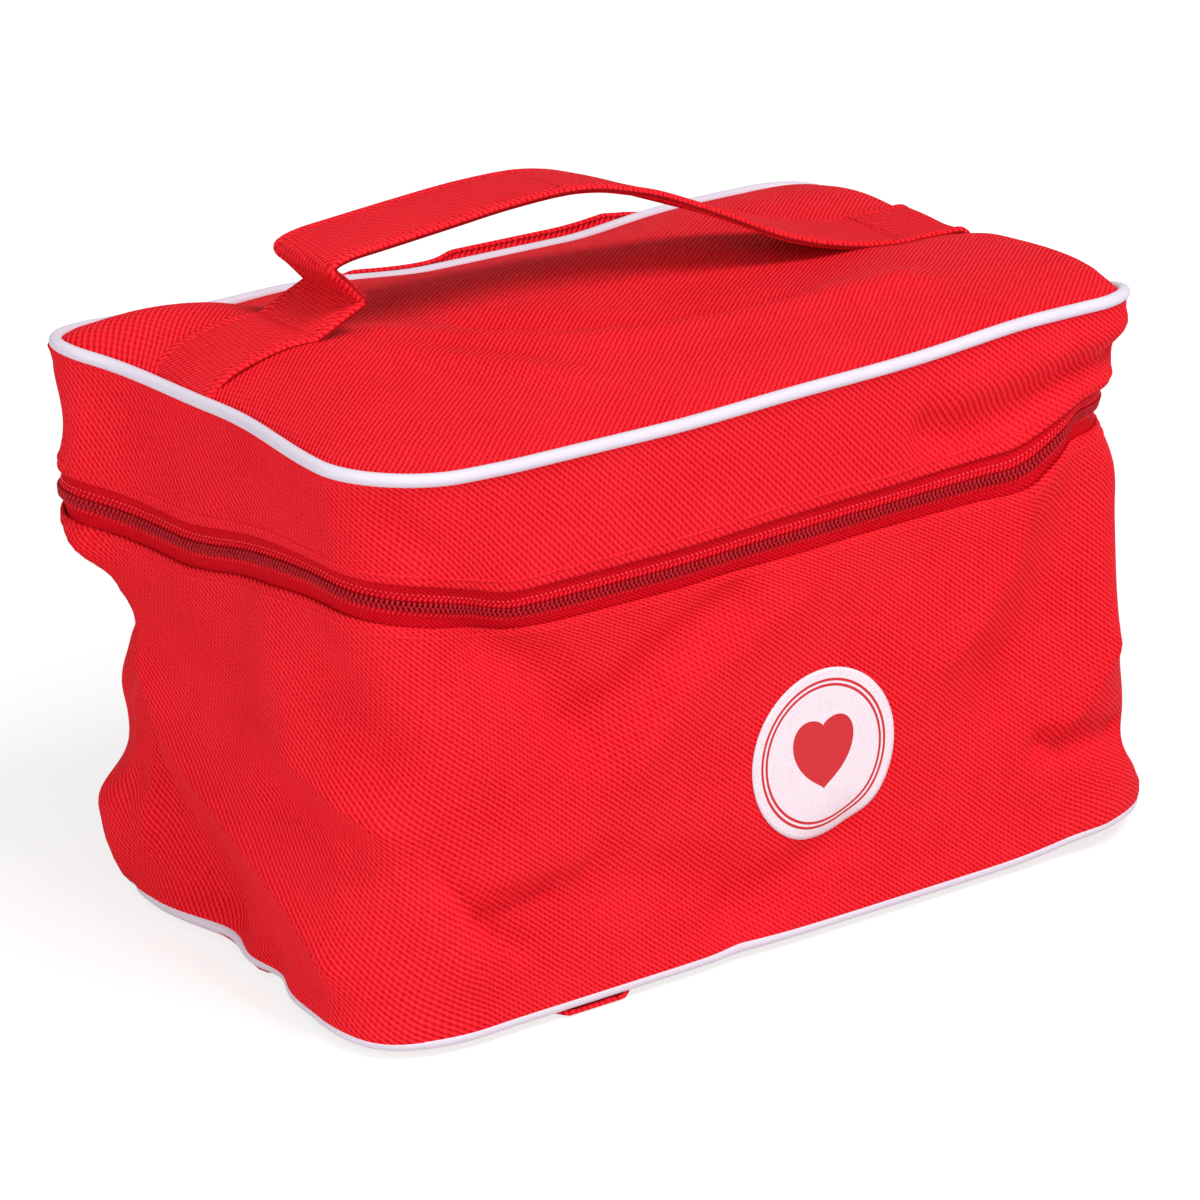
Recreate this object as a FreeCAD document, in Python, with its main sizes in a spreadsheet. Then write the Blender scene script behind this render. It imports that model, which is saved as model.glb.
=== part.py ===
"""Soft toy doctor case: a sewn fabric box with a zipped lid and a webbing handle.

Millimetres, +Z up, +X along the length, the front (with the badge) at -Y.
The origin is on the floor under the middle of the case.
"""
import FreeCAD, Part
import math
import os

import Sketcher
from FreeCAD import Vector

SIZES = [
    ("top_length", 230.0, "lid and upper body fabric, along X"),
    ("top_depth", 136.0, "lid and upper body fabric, along Y"),
    ("top_corner", 22.0, "outline corner radius of the lid"),
    ("length_flare", 3.0, "how far each end leans out at the bottom seam"),
    ("depth_flare", 5.0, "how far the front and back lean out at the bottom seam"),
    ("corner_flare", 4.0, "how much rounder the corners are at the bottom seam"),
    ("body_wall", 97.5, "body fabric from the bottom piping to the zip"),
    ("lid_wall", 23.1, "lid fabric from the zip to the top piping"),
    ("cloth", 1.2, "thickness of the doubled fabric"),
    ("bottom_cloth", 1.6, "thickness of the bottom panel"),
    ("piping_diameter", 3.8, "extruded piping cord"),
    ("crown_height", 6.0, "rise of the top panel above its seam"),
    ("crown_run", 40.0, "width of the rising margin of the top panel"),
    ("crown_corner", 11.0, "corner radius of the flat middle of the top panel"),
    ("panel_rim", 5.0, "sewn rim of the top panel"),
    ("zip_opening", 10.0, "gap between the fabric edges where the zip shows"),
    ("tape_thickness", 0.8, "woven zip tape"),
    ("tape_overlap", 6.0, "zip tape hidden behind the fabric edge"),
    ("coil_width", 2.2, "one side of the zip coil, up the tape"),
    ("coil_thickness", 1.8, "zip coil standing out from the tape"),
    ("coil_gap", 1.4, "space between the two halves of the zip"),
    ("stop_length", 2.3, "crimped stop at a zip end"),
    ("binding_height", 7.0, "tape bound over a raw seam edge"),
    ("binding_thickness", 1.0, "tape bound over a raw seam edge"),
    ("sewn_gap", 0.1, "air between two sewn layers"),
    ("zip_turn", 18.0, "run of the zip onto the back, past each rear corner"),
    ("slider_length", 10.0, "zip slider along the zip"),
    ("slider_width", 8.4, "zip slider across the zip"),
    ("slider_plate", 1.2, "slider wing thickness"),
    ("slider_flange", 0.9, "slider rim that holds the coil"),
    ("slider_neck_length", 2.0, "post that joins the slider wings"),
    ("neck_gap", 0.3, "clearance of that post between the zip halves"),
    ("slider_park", 8.0, "parked slider from the rear corner of the right side"),
    ("running_gap", 0.35, "clearance of the slider and its pull"),
    ("bail_length", 6.0, "bridge on the slider that holds the pull"),
    ("bail_width", 2.0, "bridge on the slider that holds the pull"),
    ("bail_bar", 0.9, "thickness of the bridge"),
    ("pull_pin", 1.0, "cross bar of the pull"),
    ("pull_arm", 1.0, "side arm of the pull"),
    ("pull_thickness", 1.2, "pull tab"),
    ("pull_width", 7.0, "pull tab"),
    ("pull_length", 26.0, "pull tab from its pivot"),
    ("pull_eye", 6.0, "open length of the pull's eye"),
    ("badge_diameter", 45.5, "printed disc on the front"),
    ("badge_thickness", 0.4, "transfer film of the disc"),
    ("badge_right", 8.0, "disc centre from the middle"),
    ("badge_height", 46.0, "disc centre above the floor"),
    ("strap_width", 25.0, "handle webbing"),
    ("strap_thickness", 2.4, "two layers of handle webbing"),
    ("strap_back", 14.0, "handle centre behind the middle"),
    ("strap_end", 27.0, "webbing sewn down at each end"),
    ("strap_bend", 4.0, "tightest bend of the webbing"),
    ("strap_easy_bend", 30.0, "gentle bend of the webbing"),
    ("strap_split", 0.3, "air between the sewn ends and the free webbing"),
    ("fold_in", 39.0, "handle's left fold from the left edge"),
    ("fold_rise", 15.5, "handle's left fold above the top seam"),
    ("neck_back", 7.0, "handle's neck back from the fold"),
    ("neck_up", 11.5, "handle's neck above the fold"),
    ("arch_start", 31.0, "start of the handle's flat top, left of the middle"),
    ("arch_end", 7.0, "end of the handle's flat top, left of the middle"),
    ("arch_rise", 33.5, "handle's flat top above the top seam"),
    ("landing_in", 52.0, "where the handle meets the lid, from the right edge"),
    ("landing_rise", 11.0, "where the handle meets the lid, above the top seam"),
]

SHEET_NAME = "Sizes"
ORIGIN_PLANES = {"XY": "XY_Plane", "YZ": "YZ_Plane"}


class Size:
    """A length held as a number and as the sheet expression that gives it."""

    def __init__(self, value, text):
        self.value = value
        self.text = text

    @staticmethod
    def of(other):
        return other if isinstance(other, Size) else Size(float(other), repr(float(other)))

    def join(self, other, sign, value):
        return Size(value, f"({self.text} {sign} {Size.of(other).text})")

    def __add__(self, other):
        return self.join(other, "+", self.value + Size.of(other).value)

    def __sub__(self, other):
        return self.join(other, "-", self.value - Size.of(other).value)

    def __mul__(self, other):
        return self.join(other, "*", self.value * Size.of(other).value)

    def __truediv__(self, other):
        return self.join(other, "/", self.value / Size.of(other).value)

    def __neg__(self):
        return Size(0.0, "0") - self


class Outline:
    """A rounded rectangle centred on the Z axis."""

    def __init__(self, length, depth, corner):
        self.length = length
        self.depth = depth
        self.corner = corner

    def inset(self, distance):
        return Outline(self.length - distance * 2, self.depth - distance * 2, self.corner - distance)


def make_sheet(doc):
    """Fill the sheet and return its sizes by name."""
    sheet = doc.addObject("Spreadsheet::Sheet", SHEET_NAME)
    sizes = {}
    for row, (alias, value, note) in enumerate(SIZES, start=1):
        sheet.set(f"A{row}", alias)
        sheet.set(f"B{row}", str(value))
        sheet.set(f"C{row}", note)
        sheet.setAlias(f"B{row}", alias)
        sizes[alias] = Size(value, f"{SHEET_NAME}.{alias}")
    doc.recompute()
    return sizes


def bind(thing, path, size):
    """Tie one property of a document object to a size."""
    thing.setExpression(path, size.text)


def add_body(label):
    body = doc.addObject("PartDesign::Body", label)
    body.Label = label
    return body


def add_sketch(body, name, plane, offset):
    """Add a sketch on an origin plane, moved along the plane's normal."""
    sketch = body.newObject("Sketcher::SketchObject", name)
    planes = body.Origin.OriginFeatures
    support = [p for p in planes if p.Role == ORIGIN_PLANES[plane]][0]
    sketch.AttachmentSupport = [(support, "")]
    sketch.MapMode = "FlatFace"
    bind(sketch, "AttachmentOffset.Base.z", offset)
    return sketch


def driven(sketch, name, kind, geometry, size):
    """Add a named dimension to a sketch and tie it to a size."""
    index = sketch.addConstraint(Sketcher.Constraint(kind, *geometry, size.value))
    sketch.renameConstraint(index, name)
    bind(sketch, f"Constraints.{name}", size)


def draw_outline(sketch, name, outline):
    """Draw a rounded rectangle with its sizes tied to the sheet."""
    half_x = outline.length.value / 2
    half_y = outline.depth.value / 2
    radius = outline.corner.value
    inner_x = half_x - radius
    inner_y = half_y - radius
    first = sketch.GeometryCount
    sides = [
        ((-inner_x, -half_y), (inner_x, -half_y), (inner_x, -inner_y), -90),
        ((half_x, -inner_y), (half_x, inner_y), (inner_x, inner_y), 0),
        ((inner_x, half_y), (-inner_x, half_y), (-inner_x, inner_y), 90),
        ((-half_x, inner_y), (-half_x, -inner_y), (-inner_x, -inner_y), 180),
    ]
    for start, end, centre, angle in sides:
        sketch.addGeometry(Part.LineSegment(Vector(*start), Vector(*end)))
        circle = Part.Circle(Vector(*centre), Vector(0, 0, 1), radius)
        sketch.addGeometry(Part.ArcOfCircle(circle, math.radians(angle), math.radians(angle + 90)))
    for step in range(8):
        here = first + step
        after = first + (step + 1) % 8
        sketch.addConstraint(Sketcher.Constraint("Tangent", here, 2, after, 1))
    front, right, back, left = first, first + 2, first + 4, first + 6
    sketch.addConstraint(Sketcher.Constraint("Symmetric", front, 1, front, 2, -2))
    sketch.addConstraint(Sketcher.Constraint("Symmetric", right, 1, right, 2, -1))
    sketch.addConstraint(Sketcher.Constraint("Horizontal", back))
    sketch.addConstraint(Sketcher.Constraint("Vertical", left))
    for arc in (first + 3, first + 5, first + 7):
        sketch.addConstraint(Sketcher.Constraint("Equal", first + 1, arc))
    driven(sketch, f"{name}_length", "DistanceX", (left, 1, right, 1), outline.length)
    driven(sketch, f"{name}_depth", "DistanceY", (front, 1, back, 1), outline.depth)
    driven(sketch, f"{name}_corner", "Radius", (first + 1,), outline.corner)


def draw_rectangle(sketch, left, bottom, right, top):
    """Draw an upright rectangle by its four edges."""
    corners = [(left, bottom), (right, bottom), (right, top), (left, top)]
    points = [Vector(x.value, y.value, 0) for x, y in corners]
    for step in range(4):
        sketch.addGeometry(Part.LineSegment(points[step], points[(step + 1) % 4]))
    for step in range(4):
        sketch.addConstraint(Sketcher.Constraint("Coincident", step, 2, (step + 1) % 4, 1))
    for line in (0, 2):
        sketch.addConstraint(Sketcher.Constraint("Horizontal", line))
    for line in (1, 3):
        sketch.addConstraint(Sketcher.Constraint("Vertical", line))
    driven(sketch, "left_edge", "DistanceX", (-1, 1, 0, 1), left)
    driven(sketch, "right_edge", "DistanceX", (-1, 1, 1, 1), right)
    driven(sketch, "bottom_edge", "DistanceY", (-1, 1, 0, 1), bottom)
    driven(sketch, "top_edge", "DistanceY", (-1, 1, 2, 1), top)


def pad(body, sketch, height):
    feature = body.newObject("PartDesign::Pad", f"{body.Name}_pad")
    feature.Profile = sketch
    bind(feature, "Length", height)
    return feature


def make_ring(label, outline, wall, bottom, height):
    """A straight-walled band that follows an outline."""
    body = add_body(label)
    sketch = add_sketch(body, f"{label}_plan", "XY", bottom)
    draw_outline(sketch, "outer", outline)
    draw_outline(sketch, "inner", outline.inset(wall))
    pad(body, sketch, height)
    return body


def make_plate(label, outline, bottom, height):
    """A flat panel cut to an outline."""
    body = add_body(label)
    sketch = add_sketch(body, f"{label}_plan", "XY", bottom)
    draw_outline(sketch, "edge", outline)
    pad(body, sketch, height)
    return body


def add_loft(body, name, kind, sections):
    """Loft a body's solid, or its hollow, through outlines at their heights."""
    sketches = []
    for step, (outline, height) in enumerate(sections):
        sketch = add_sketch(body, f"{name}_{step}", "XY", height)
        draw_outline(sketch, "edge", outline)
        sketches.append(sketch)
    loft = body.newObject(kind, name)
    loft.Profile = sketches[0]
    loft.Sections = sketches[1:]
    loft.Ruled = True
    doc.recompute()
    return loft


def make_lofted_wall(label, outer, inner):
    """A thin lofted shell: an outer loft hollowed by an inner one."""
    body = add_body(label)
    add_loft(body, f"{label}_outer", "PartDesign::AdditiveLoft", outer)
    add_loft(body, f"{label}_inner", "PartDesign::SubtractiveLoft", inner)
    return body


def make_piping(label, outline, height, diameter):
    """A round cord that follows an outline."""
    body = add_body(label)
    spine = add_sketch(body, f"{label}_path", "XY", height)
    draw_outline(spine, "path", outline)
    start = outline.corner - outline.length / 2
    profile = add_sketch(body, f"{label}_section", "YZ", start)
    centre = Vector(-outline.depth.value / 2, height.value, 0)
    profile.addGeometry(Part.Circle(centre, Vector(0, 0, 1), diameter.value / 2))
    driven(profile, "across", "DistanceX", (-1, 1, 0, 3), -outline.depth / 2)
    driven(profile, "up", "DistanceY", (-1, 1, 0, 3), height)
    driven(profile, "radius", "Radius", (0,), diameter / 2)
    pipe = body.newObject("PartDesign::AdditivePipe", f"{label}_sweep")
    pipe.Profile = profile
    pipe.Spine = (spine, [f"Edge{i}" for i in range(1, 9)])
    pipe.Transition = "Transformed"
    return body


def cut_window(body, name, left, bottom, right, top):
    """Cut a rectangular window, seen from above, right through a body."""
    sketch = add_sketch(body, f"{body.Name}_{name}", "XY", zip_middle)
    draw_rectangle(sketch, left, bottom, right, top)
    pocket = body.newObject("PartDesign::Pocket", f"{body.Name}_{name}_cut")
    pocket.Profile = sketch
    pocket.SideType = "Symmetric"
    bind(pocket, "Length", top_seam)
    doc.recompute()
    return pocket


def make_box(label, low, high):
    """A box between two corners."""
    box = doc.addObject("Part::Box", label)
    for axis, side, a, b in zip("xyz", ("Length", "Width", "Height"), low, high):
        bind(box, side, b - a)
        bind(box, f"Placement.Base.{axis}", a)
    return box


def make_fuse(label, pieces):
    fuse = doc.addObject("Part::MultiFuse", label)
    fuse.Label = label
    fuse.Shapes = pieces
    fuse.Refine = True
    return fuse


def make_group(label, pieces):
    """Separate solids that share one node."""
    group = doc.addObject("Part::Compound", label)
    group.Label = label
    group.Links = pieces
    return group


def ribbon_side(points, radii, shift):
    """Edges of a bent strip's side: straight runs and tangent arcs, moved sideways."""
    edges = []
    start = None
    for before, corner, after, radius in zip(points, points[1:], points[2:], radii):
        come = (corner - before).normalize()
        leave = (after - corner).normalize()
        turn = math.atan2(come.x * leave.z - come.z * leave.x, come.dot(leave))
        reach = radius * math.tan(abs(turn) / 2)
        side = math.copysign(1.0, turn)
        normals = [Vector(-d.z, 0, d.x) for d in (come, leave)]
        begin = corner - come * reach + normals[0] * shift
        finish = corner + leave * reach + normals[1] * shift
        centre = corner - come * reach + normals[0] * (side * radius)
        spoke = ((begin - centre).normalize() + (finish - centre).normalize()).normalize()
        middle = centre + spoke * (radius - side * shift)
        if start is None:
            start = before + normals[0] * shift
        edges.append(Part.LineSegment(start, begin).toShape())
        edges.append(Part.Arc(begin, middle, finish).toShape())
        start = finish
    last = (points[-1] - points[-2]).normalize()
    first_point = start if start is not None else points[0] + Vector(-last.z, 0, last.x) * shift
    edges.append(Part.LineSegment(first_point, points[-1] + Vector(-last.z, 0, last.x) * shift).toShape())
    return edges


def make_ribbon(label, points, radii):
    """A flat webbing strip of the strap's width, bent in the XZ plane."""
    half = s["strap_thickness"].value / 2
    upper = ribbon_side(points, radii, half)
    lower = ribbon_side(points, radii, -half)
    ends = []
    for index, vertex in ((0, 0), (-1, -1)):
        a = upper[index].Vertexes[vertex].Point
        b = lower[index].Vertexes[vertex].Point
        ends.append(Part.LineSegment(a, b).toShape())
    wire = Part.Wire(Part.__sortEdges__(upper + lower + ends))
    strip = doc.addObject("Part::Feature", label)
    strip.Label = label
    width = s["strap_width"].value
    strip.Shape = Part.Face(wire).extrude(Vector(0, width, 0))
    strip.Placement = FreeCAD.Placement(Vector(0, s["strap_back"].value - width / 2, 0), FreeCAD.Rotation())
    return strip


doc = FreeCAD.newDocument("toy_doctor_case")
s = make_sheet(doc)

top = Outline(s["top_length"], s["top_depth"], s["top_corner"])
base = Outline(
    top.length + s["length_flare"] * 2,
    top.depth + s["depth_flare"] * 2,
    top.corner + s["corner_flare"],
)
half_opening = s["zip_opening"] / 2
piping_radius = s["piping_diameter"] / 2
half_hinge = top.length / 2 - top.corner - s["zip_turn"]
nothing = Size(0.0, "0")

# Heights of the stack: bottom panel, piping, body wall, zip, lid wall, piping.
bottom_seam = s["bottom_cloth"] + s["sewn_gap"] + piping_radius
band_foot = bottom_seam + piping_radius
band_edge = band_foot + s["body_wall"]
zip_middle = band_edge + half_opening
lid_edge = zip_middle + half_opening
lid_top = lid_edge + s["lid_wall"]
top_seam = lid_top + piping_radius

# Body: bottom panel, piping and the wrap-around band that leans in towards the zip.
bottom_panel = make_plate("bottom_panel", base.inset(s["cloth"]), nothing, s["bottom_cloth"])
bottom_piping = make_piping("bottom_piping", base, bottom_seam, s["piping_diameter"])
body_band = make_lofted_wall(
    "body_band",
    [(base, band_foot), (top, band_edge)],
    [(base.inset(s["cloth"]), band_foot), (top.inset(s["cloth"]), band_edge)],
)
lean = s["depth_flare"] / s["body_wall"]
lean_in = lean * s["binding_height"]
bottom_seam_binding = make_ring(
    "bottom_seam_binding",
    base.inset(s["cloth"] + s["sewn_gap"] + lean_in),
    s["binding_thickness"],
    band_foot,
    s["binding_height"],
)

# Lid: band, piping, crowned top panel and its bound seam.
lid_band = make_ring("lid_band", top, s["cloth"], lid_edge, s["lid_wall"])
top_piping = make_piping("top_piping", top, top_seam, s["piping_diameter"])
panel_edge = top.inset(piping_radius + s["sewn_gap"])
panel_crown = Outline(
    panel_edge.length - s["crown_run"] * 2,
    panel_edge.depth - s["crown_run"] * 2,
    s["crown_corner"],
)
panel_foot = top_seam - s["cloth"] / 2
crown_top = panel_foot + s["cloth"] + s["crown_height"]
top_panel = make_lofted_wall(
    "top_panel",
    [(panel_edge, panel_foot), (panel_edge, panel_foot + s["cloth"]), (panel_crown, crown_top)],
    [(panel_edge.inset(s["panel_rim"]), panel_foot), (panel_crown, crown_top - s["cloth"])],
)
top_seam_binding = make_ring(
    "top_seam_binding",
    top.inset(s["cloth"] + s["sewn_gap"]),
    s["binding_thickness"],
    lid_top - s["binding_height"],
    s["binding_height"],
)

# Zip: tapes behind the fabric edges, coils on their faces, open across the back.
tape_line = top.inset(s["cloth"] + s["sewn_gap"])
coil_line = tape_line.inset(-s["coil_thickness"])
tape_out = tape_line.length / 2
tape_in = tape_out - s["tape_thickness"]
tape_reach = half_opening + s["tape_overlap"]
half_gap = s["coil_gap"] / 2
tape_height = tape_reach - half_gap
zip_lower_tape = make_ring(
    "zip_lower_tape", tape_line, s["tape_thickness"], zip_middle - tape_reach, tape_height
)
zip_upper_tape = make_ring(
    "zip_upper_tape", tape_line, s["tape_thickness"], zip_middle + half_gap, tape_height
)
coil_low = zip_middle - half_gap - s["coil_width"]
coil_high = zip_middle + half_gap
zip_lower_coil = make_ring(
    "zip_lower_coil", coil_line, s["coil_thickness"], coil_low, s["coil_width"]
)
zip_upper_coil = make_ring(
    "zip_upper_coil", coil_line, s["coil_thickness"], coil_high, s["coil_width"]
)
for tape in (zip_lower_tape, zip_upper_tape):
    cut_window(tape, "back", -half_hinge, s["top_corner"], half_hinge, s["top_depth"])
coil_end = half_hinge + s["stop_length"] + s["sewn_gap"]
for coil in (zip_lower_coil, zip_upper_coil):
    cut_window(coil, "back", -coil_end, s["top_corner"], coil_end, s["top_depth"])
slider_reach = s["slider_length"] / 2 + s["running_gap"]
park = top.depth / 2 - top.corner - s["slider_park"]
cut_window(
    zip_upper_coil,
    "slider",
    tape_in,
    park - slider_reach,
    s["top_length"],
    park + slider_reach,
)
binding_line = tape_line.inset(s["tape_thickness"] + s["sewn_gap"])
body_zip_binding = make_ring(
    "body_zip_binding",
    binding_line,
    s["binding_thickness"],
    band_edge - s["sewn_gap"] - s["binding_height"],
    s["binding_height"],
)
lid_zip_binding = make_ring(
    "lid_zip_binding", binding_line, s["binding_thickness"], lid_edge + s["sewn_gap"], s["binding_height"]
)

# Fabric hinge across the back, between the zip ends.
back_face = s["top_depth"] / 2
hinge_strip = make_box(
    "hinge_strip",
    (s["sewn_gap"] - half_hinge, back_face - s["cloth"], band_edge),
    (half_hinge - s["sewn_gap"], back_face, lid_edge),
)

# Crimped stops where the coils end.
tape_face = tape_line.depth / 2
coil_face = coil_line.depth / 2
for label, low in (("zip_lower_stops", coil_low), ("zip_upper_stops", coil_high)):
    stops = []
    for side, near in (("left", -half_hinge - s["stop_length"]), ("right", half_hinge)):
        stop = make_box(
            f"{label}_{side}",
            (near, tape_face, low),
            (near + s["stop_length"], coil_face, low + s["coil_width"]),
        )
        stops.append(stop)
    make_group(label, stops)

# Zip slider on the right side: two wings, a neck, rims round the coil and a bridge.
wing_in = coil_line.length / 2 + s["running_gap"]
wing_out = wing_in + s["slider_plate"]
back_wing_out = tape_in - s["running_gap"]
slider_front = park - s["slider_length"] / 2
slider_back = park + s["slider_length"] / 2
half_slider = s["slider_width"] / 2
rim = s["slider_flange"]
neck = half_gap - s["neck_gap"]
pin_x = wing_out + s["running_gap"] + s["pull_thickness"] / 2
bail_in = pin_x + s["pull_pin"] / 2 + s["running_gap"]
bail_out = bail_in + s["bail_bar"]
bail_front = park - s["bail_length"] / 2
bail_back = park + s["bail_length"] / 2
half_bail = s["bail_width"] / 2
bail_low = zip_middle - half_bail
bail_high = zip_middle + half_bail
slider_pieces = [
    make_box(
        "slider_outer_wing",
        (wing_in, slider_front, zip_middle - half_slider),
        (wing_out, slider_back, zip_middle + half_slider),
    ),
    make_box(
        "slider_inner_wing",
        (back_wing_out - s["slider_plate"], slider_front, zip_middle - half_slider),
        (back_wing_out, slider_back, zip_middle + half_slider),
    ),
    make_box(
        "slider_neck",
        (back_wing_out - s["slider_plate"], slider_back - s["slider_neck_length"], zip_middle - neck),
        (wing_out, slider_back, zip_middle + neck),
    ),
    make_box(
        "slider_lower_rim",
        (tape_out + s["running_gap"], slider_front, zip_middle - half_slider),
        (wing_out, slider_back, zip_middle - half_slider + rim),
    ),
    make_box(
        "slider_upper_rim",
        (tape_out + s["running_gap"], slider_front, zip_middle + half_slider - rim),
        (wing_out, slider_back, zip_middle + half_slider),
    ),
    make_box(
        "slider_bail_front",
        (wing_in, bail_front, bail_low),
        (bail_out, bail_front + s["bail_bar"], bail_high),
    ),
    make_box(
        "slider_bail_back",
        (wing_in, bail_back - s["bail_bar"], bail_low),
        (bail_out, bail_back, bail_high),
    ),
    make_box("slider_bail_bar", (bail_in, bail_front, bail_low), (bail_out, bail_back, bail_high)),
]
zip_slider = make_fuse("zip_slider", slider_pieces)

# Pull: a cross bar under the bridge, two arms and a flat tab that lies towards the back.
arm_in = half_bail + s["running_gap"]
arm_out = arm_in + s["pull_arm"]
half_pull = s["pull_thickness"] / 2
tab_low = zip_middle - s["pull_width"] / 2
tab_high = zip_middle + s["pull_width"] / 2
pull_bar = doc.addObject("Part::Cylinder", "pull_bar")
bind(pull_bar, "Radius", s["pull_pin"] / 2)
bind(pull_bar, "Height", arm_out * 2)
bind(pull_bar, "Placement.Base.x", pin_x)
bind(pull_bar, "Placement.Base.y", park)
bind(pull_bar, "Placement.Base.z", zip_middle - arm_out)
pull_pieces = [
    pull_bar,
    make_box(
        "pull_lower_arm",
        (pin_x - half_pull, park - s["pull_pin"] / 2, zip_middle - arm_out),
        (pin_x + half_pull, park + s["pull_eye"], zip_middle - arm_in),
    ),
    make_box(
        "pull_upper_arm",
        (pin_x - half_pull, park - s["pull_pin"] / 2, zip_middle + arm_in),
        (pin_x + half_pull, park + s["pull_eye"], zip_middle + arm_out),
    ),
    make_box(
        "pull_plate",
        (pin_x - half_pull, park + s["pull_eye"], tab_low),
        (pin_x + half_pull, park + s["pull_length"], tab_high),
    ),
]
pull_tab = make_fuse("pull_tab", pull_pieces)

# Printed disc, square to the leaning front wall.
badge = doc.addObject("Part::Cylinder", "badge")
badge.Label = "badge"
bind(badge, "Radius", s["badge_diameter"] / 2)
bind(badge, "Height", s["badge_thickness"])
front_face = -base.depth / 2 + lean * (s["badge_height"] - band_foot)
badge.Placement = FreeCAD.Placement(Vector(), FreeCAD.Rotation(Vector(1, 0, 0), 90))
bind(badge, "Placement.Base.x", s["badge_right"])
bind(badge, "Placement.Base.y", front_face - s["sewn_gap"])
bind(badge, "Placement.Base.z", s["badge_height"])
badge.setExpression("Placement.Rotation.Angle", f"90 deg - atan({lean.text})")

# Handle: webbing sewn into both short top seams, with slack that folds and arches.
left_edge = -top.length / 2 + piping_radius + s["sewn_gap"]
right_edge = -left_edge
strap_seam = top_seam + s["strap_thickness"] / 2 + s["cloth"]
fold_x = left_edge + s["fold_in"]
fold_z = top_seam + s["fold_rise"]
route = [
    (left_edge, strap_seam),
    (fold_x, fold_z),
    (fold_x - s["neck_back"], fold_z + s["neck_up"]),
    (-s["arch_start"], top_seam + s["arch_rise"]),
    (-s["arch_end"], top_seam + s["arch_rise"]),
    (right_edge - s["landing_in"], top_seam + s["landing_rise"]),
    (right_edge, strap_seam),
]
points = [Vector(x.value, 0, z.value) for x, z in route]
tight = s["strap_bend"].value
easy = s["strap_easy_bend"].value
bends = [tight, tight, easy, easy, easy]
left_run = (points[1] - points[0]).normalize()
right_run = (points[-2] - points[-1]).normalize()
end_length = s["strap_end"].value
split = s["strap_split"].value
handle_left_end = make_ribbon("handle_left_end", [points[0], points[0] + left_run * end_length], [])
handle_right_end = make_ribbon("handle_right_end", [points[-1] + right_run * end_length, points[-1]], [])
free_start = points[0] + left_run * (end_length + split)
free_end = points[-1] + right_run * (end_length + split)
handle_strap = make_ribbon("handle_strap", [free_start] + points[1:-1] + [free_end], bends)

NODES = [
    "bottom_panel", "bottom_piping", "bottom_seam_binding", "body_band", "body_zip_binding",
    "zip_lower_tape", "zip_lower_coil", "zip_lower_stops", "hinge_strip", "badge",
    "top_panel", "top_piping", "top_seam_binding", "lid_band", "lid_zip_binding",
    "zip_upper_tape", "zip_upper_coil", "zip_upper_stops", "handle_left_end", "handle_right_end",
    "handle_strap", "zip_slider", "pull_tab",
]

doc.recompute()
for thing in doc.Objects:
    if "Invalid" in thing.State or "Error" in thing.State:
        raise RuntimeError(f"{thing.Name} failed: {thing.State}")
os.makedirs("parts", exist_ok=True)
for label in NODES:
    shape = doc.getObjectsByLabel(label)[0].Shape
    if shape.isNull() or not shape.isValid():
        raise RuntimeError(f"{label} has no valid shape")
    shape.exportStep(f"parts/{label}.step")
    box = shape.BoundBox
    print(f"{label}: {len(shape.Solids)} solids, {shape.Volume:.0f} mm3, z {box.ZMin:.1f}..{box.ZMax:.1f}")
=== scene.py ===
"""Dressed model of the soft toy doctor case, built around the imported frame.

Lengths are millimetres here and become metres where a mesh is made.
The front with the badge faces -Y, and the lid opens over the back at +Y.
"""
import logging
import math
from dataclasses import dataclass
from enum import Enum
from typing import Callable

import bpy
import numpy as np
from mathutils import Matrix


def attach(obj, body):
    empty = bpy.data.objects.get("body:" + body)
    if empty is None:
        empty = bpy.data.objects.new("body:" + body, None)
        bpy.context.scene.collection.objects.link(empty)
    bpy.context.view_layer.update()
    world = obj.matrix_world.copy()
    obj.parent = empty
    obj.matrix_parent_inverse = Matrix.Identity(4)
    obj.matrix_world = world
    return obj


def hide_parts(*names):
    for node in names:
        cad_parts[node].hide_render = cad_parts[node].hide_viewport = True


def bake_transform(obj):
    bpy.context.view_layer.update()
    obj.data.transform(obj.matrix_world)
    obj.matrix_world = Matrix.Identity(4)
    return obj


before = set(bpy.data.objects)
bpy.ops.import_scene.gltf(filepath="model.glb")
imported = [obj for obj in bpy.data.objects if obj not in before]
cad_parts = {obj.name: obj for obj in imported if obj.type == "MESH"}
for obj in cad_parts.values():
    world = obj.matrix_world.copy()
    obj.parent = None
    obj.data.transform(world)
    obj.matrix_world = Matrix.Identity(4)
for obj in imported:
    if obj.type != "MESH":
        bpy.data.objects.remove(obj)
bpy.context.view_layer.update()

MM = 0.001
FULL_TURN = 2 * math.pi
log = logging.getLogger("doctor_case")

Point = tuple[float, float, float]
Spot = tuple[np.ndarray, np.ndarray]
Link = bpy.types.NodeSocket
Material = bpy.types.Material
Piece = bpy.types.Object
Tree = bpy.types.NodeTree


class Body(Enum):
    """The frame's moving bodies."""

    CASE = "case"
    LID = "lid"
    HANDLE = "handle"
    SLIDER = "slider"
    PULL = "pull"


class Slot(Enum):
    """The record's material slots."""

    OXFORD = "red_oxford"
    PIPING = "white_piping"
    BINDING = "red_binding"
    TAPE = "red_zip_tape"
    COIL = "red_zip_coil"
    METAL = "zip_metal"
    BADGE = "badge_film"
    WEBBING = "red_webbing"


# Materials


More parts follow.
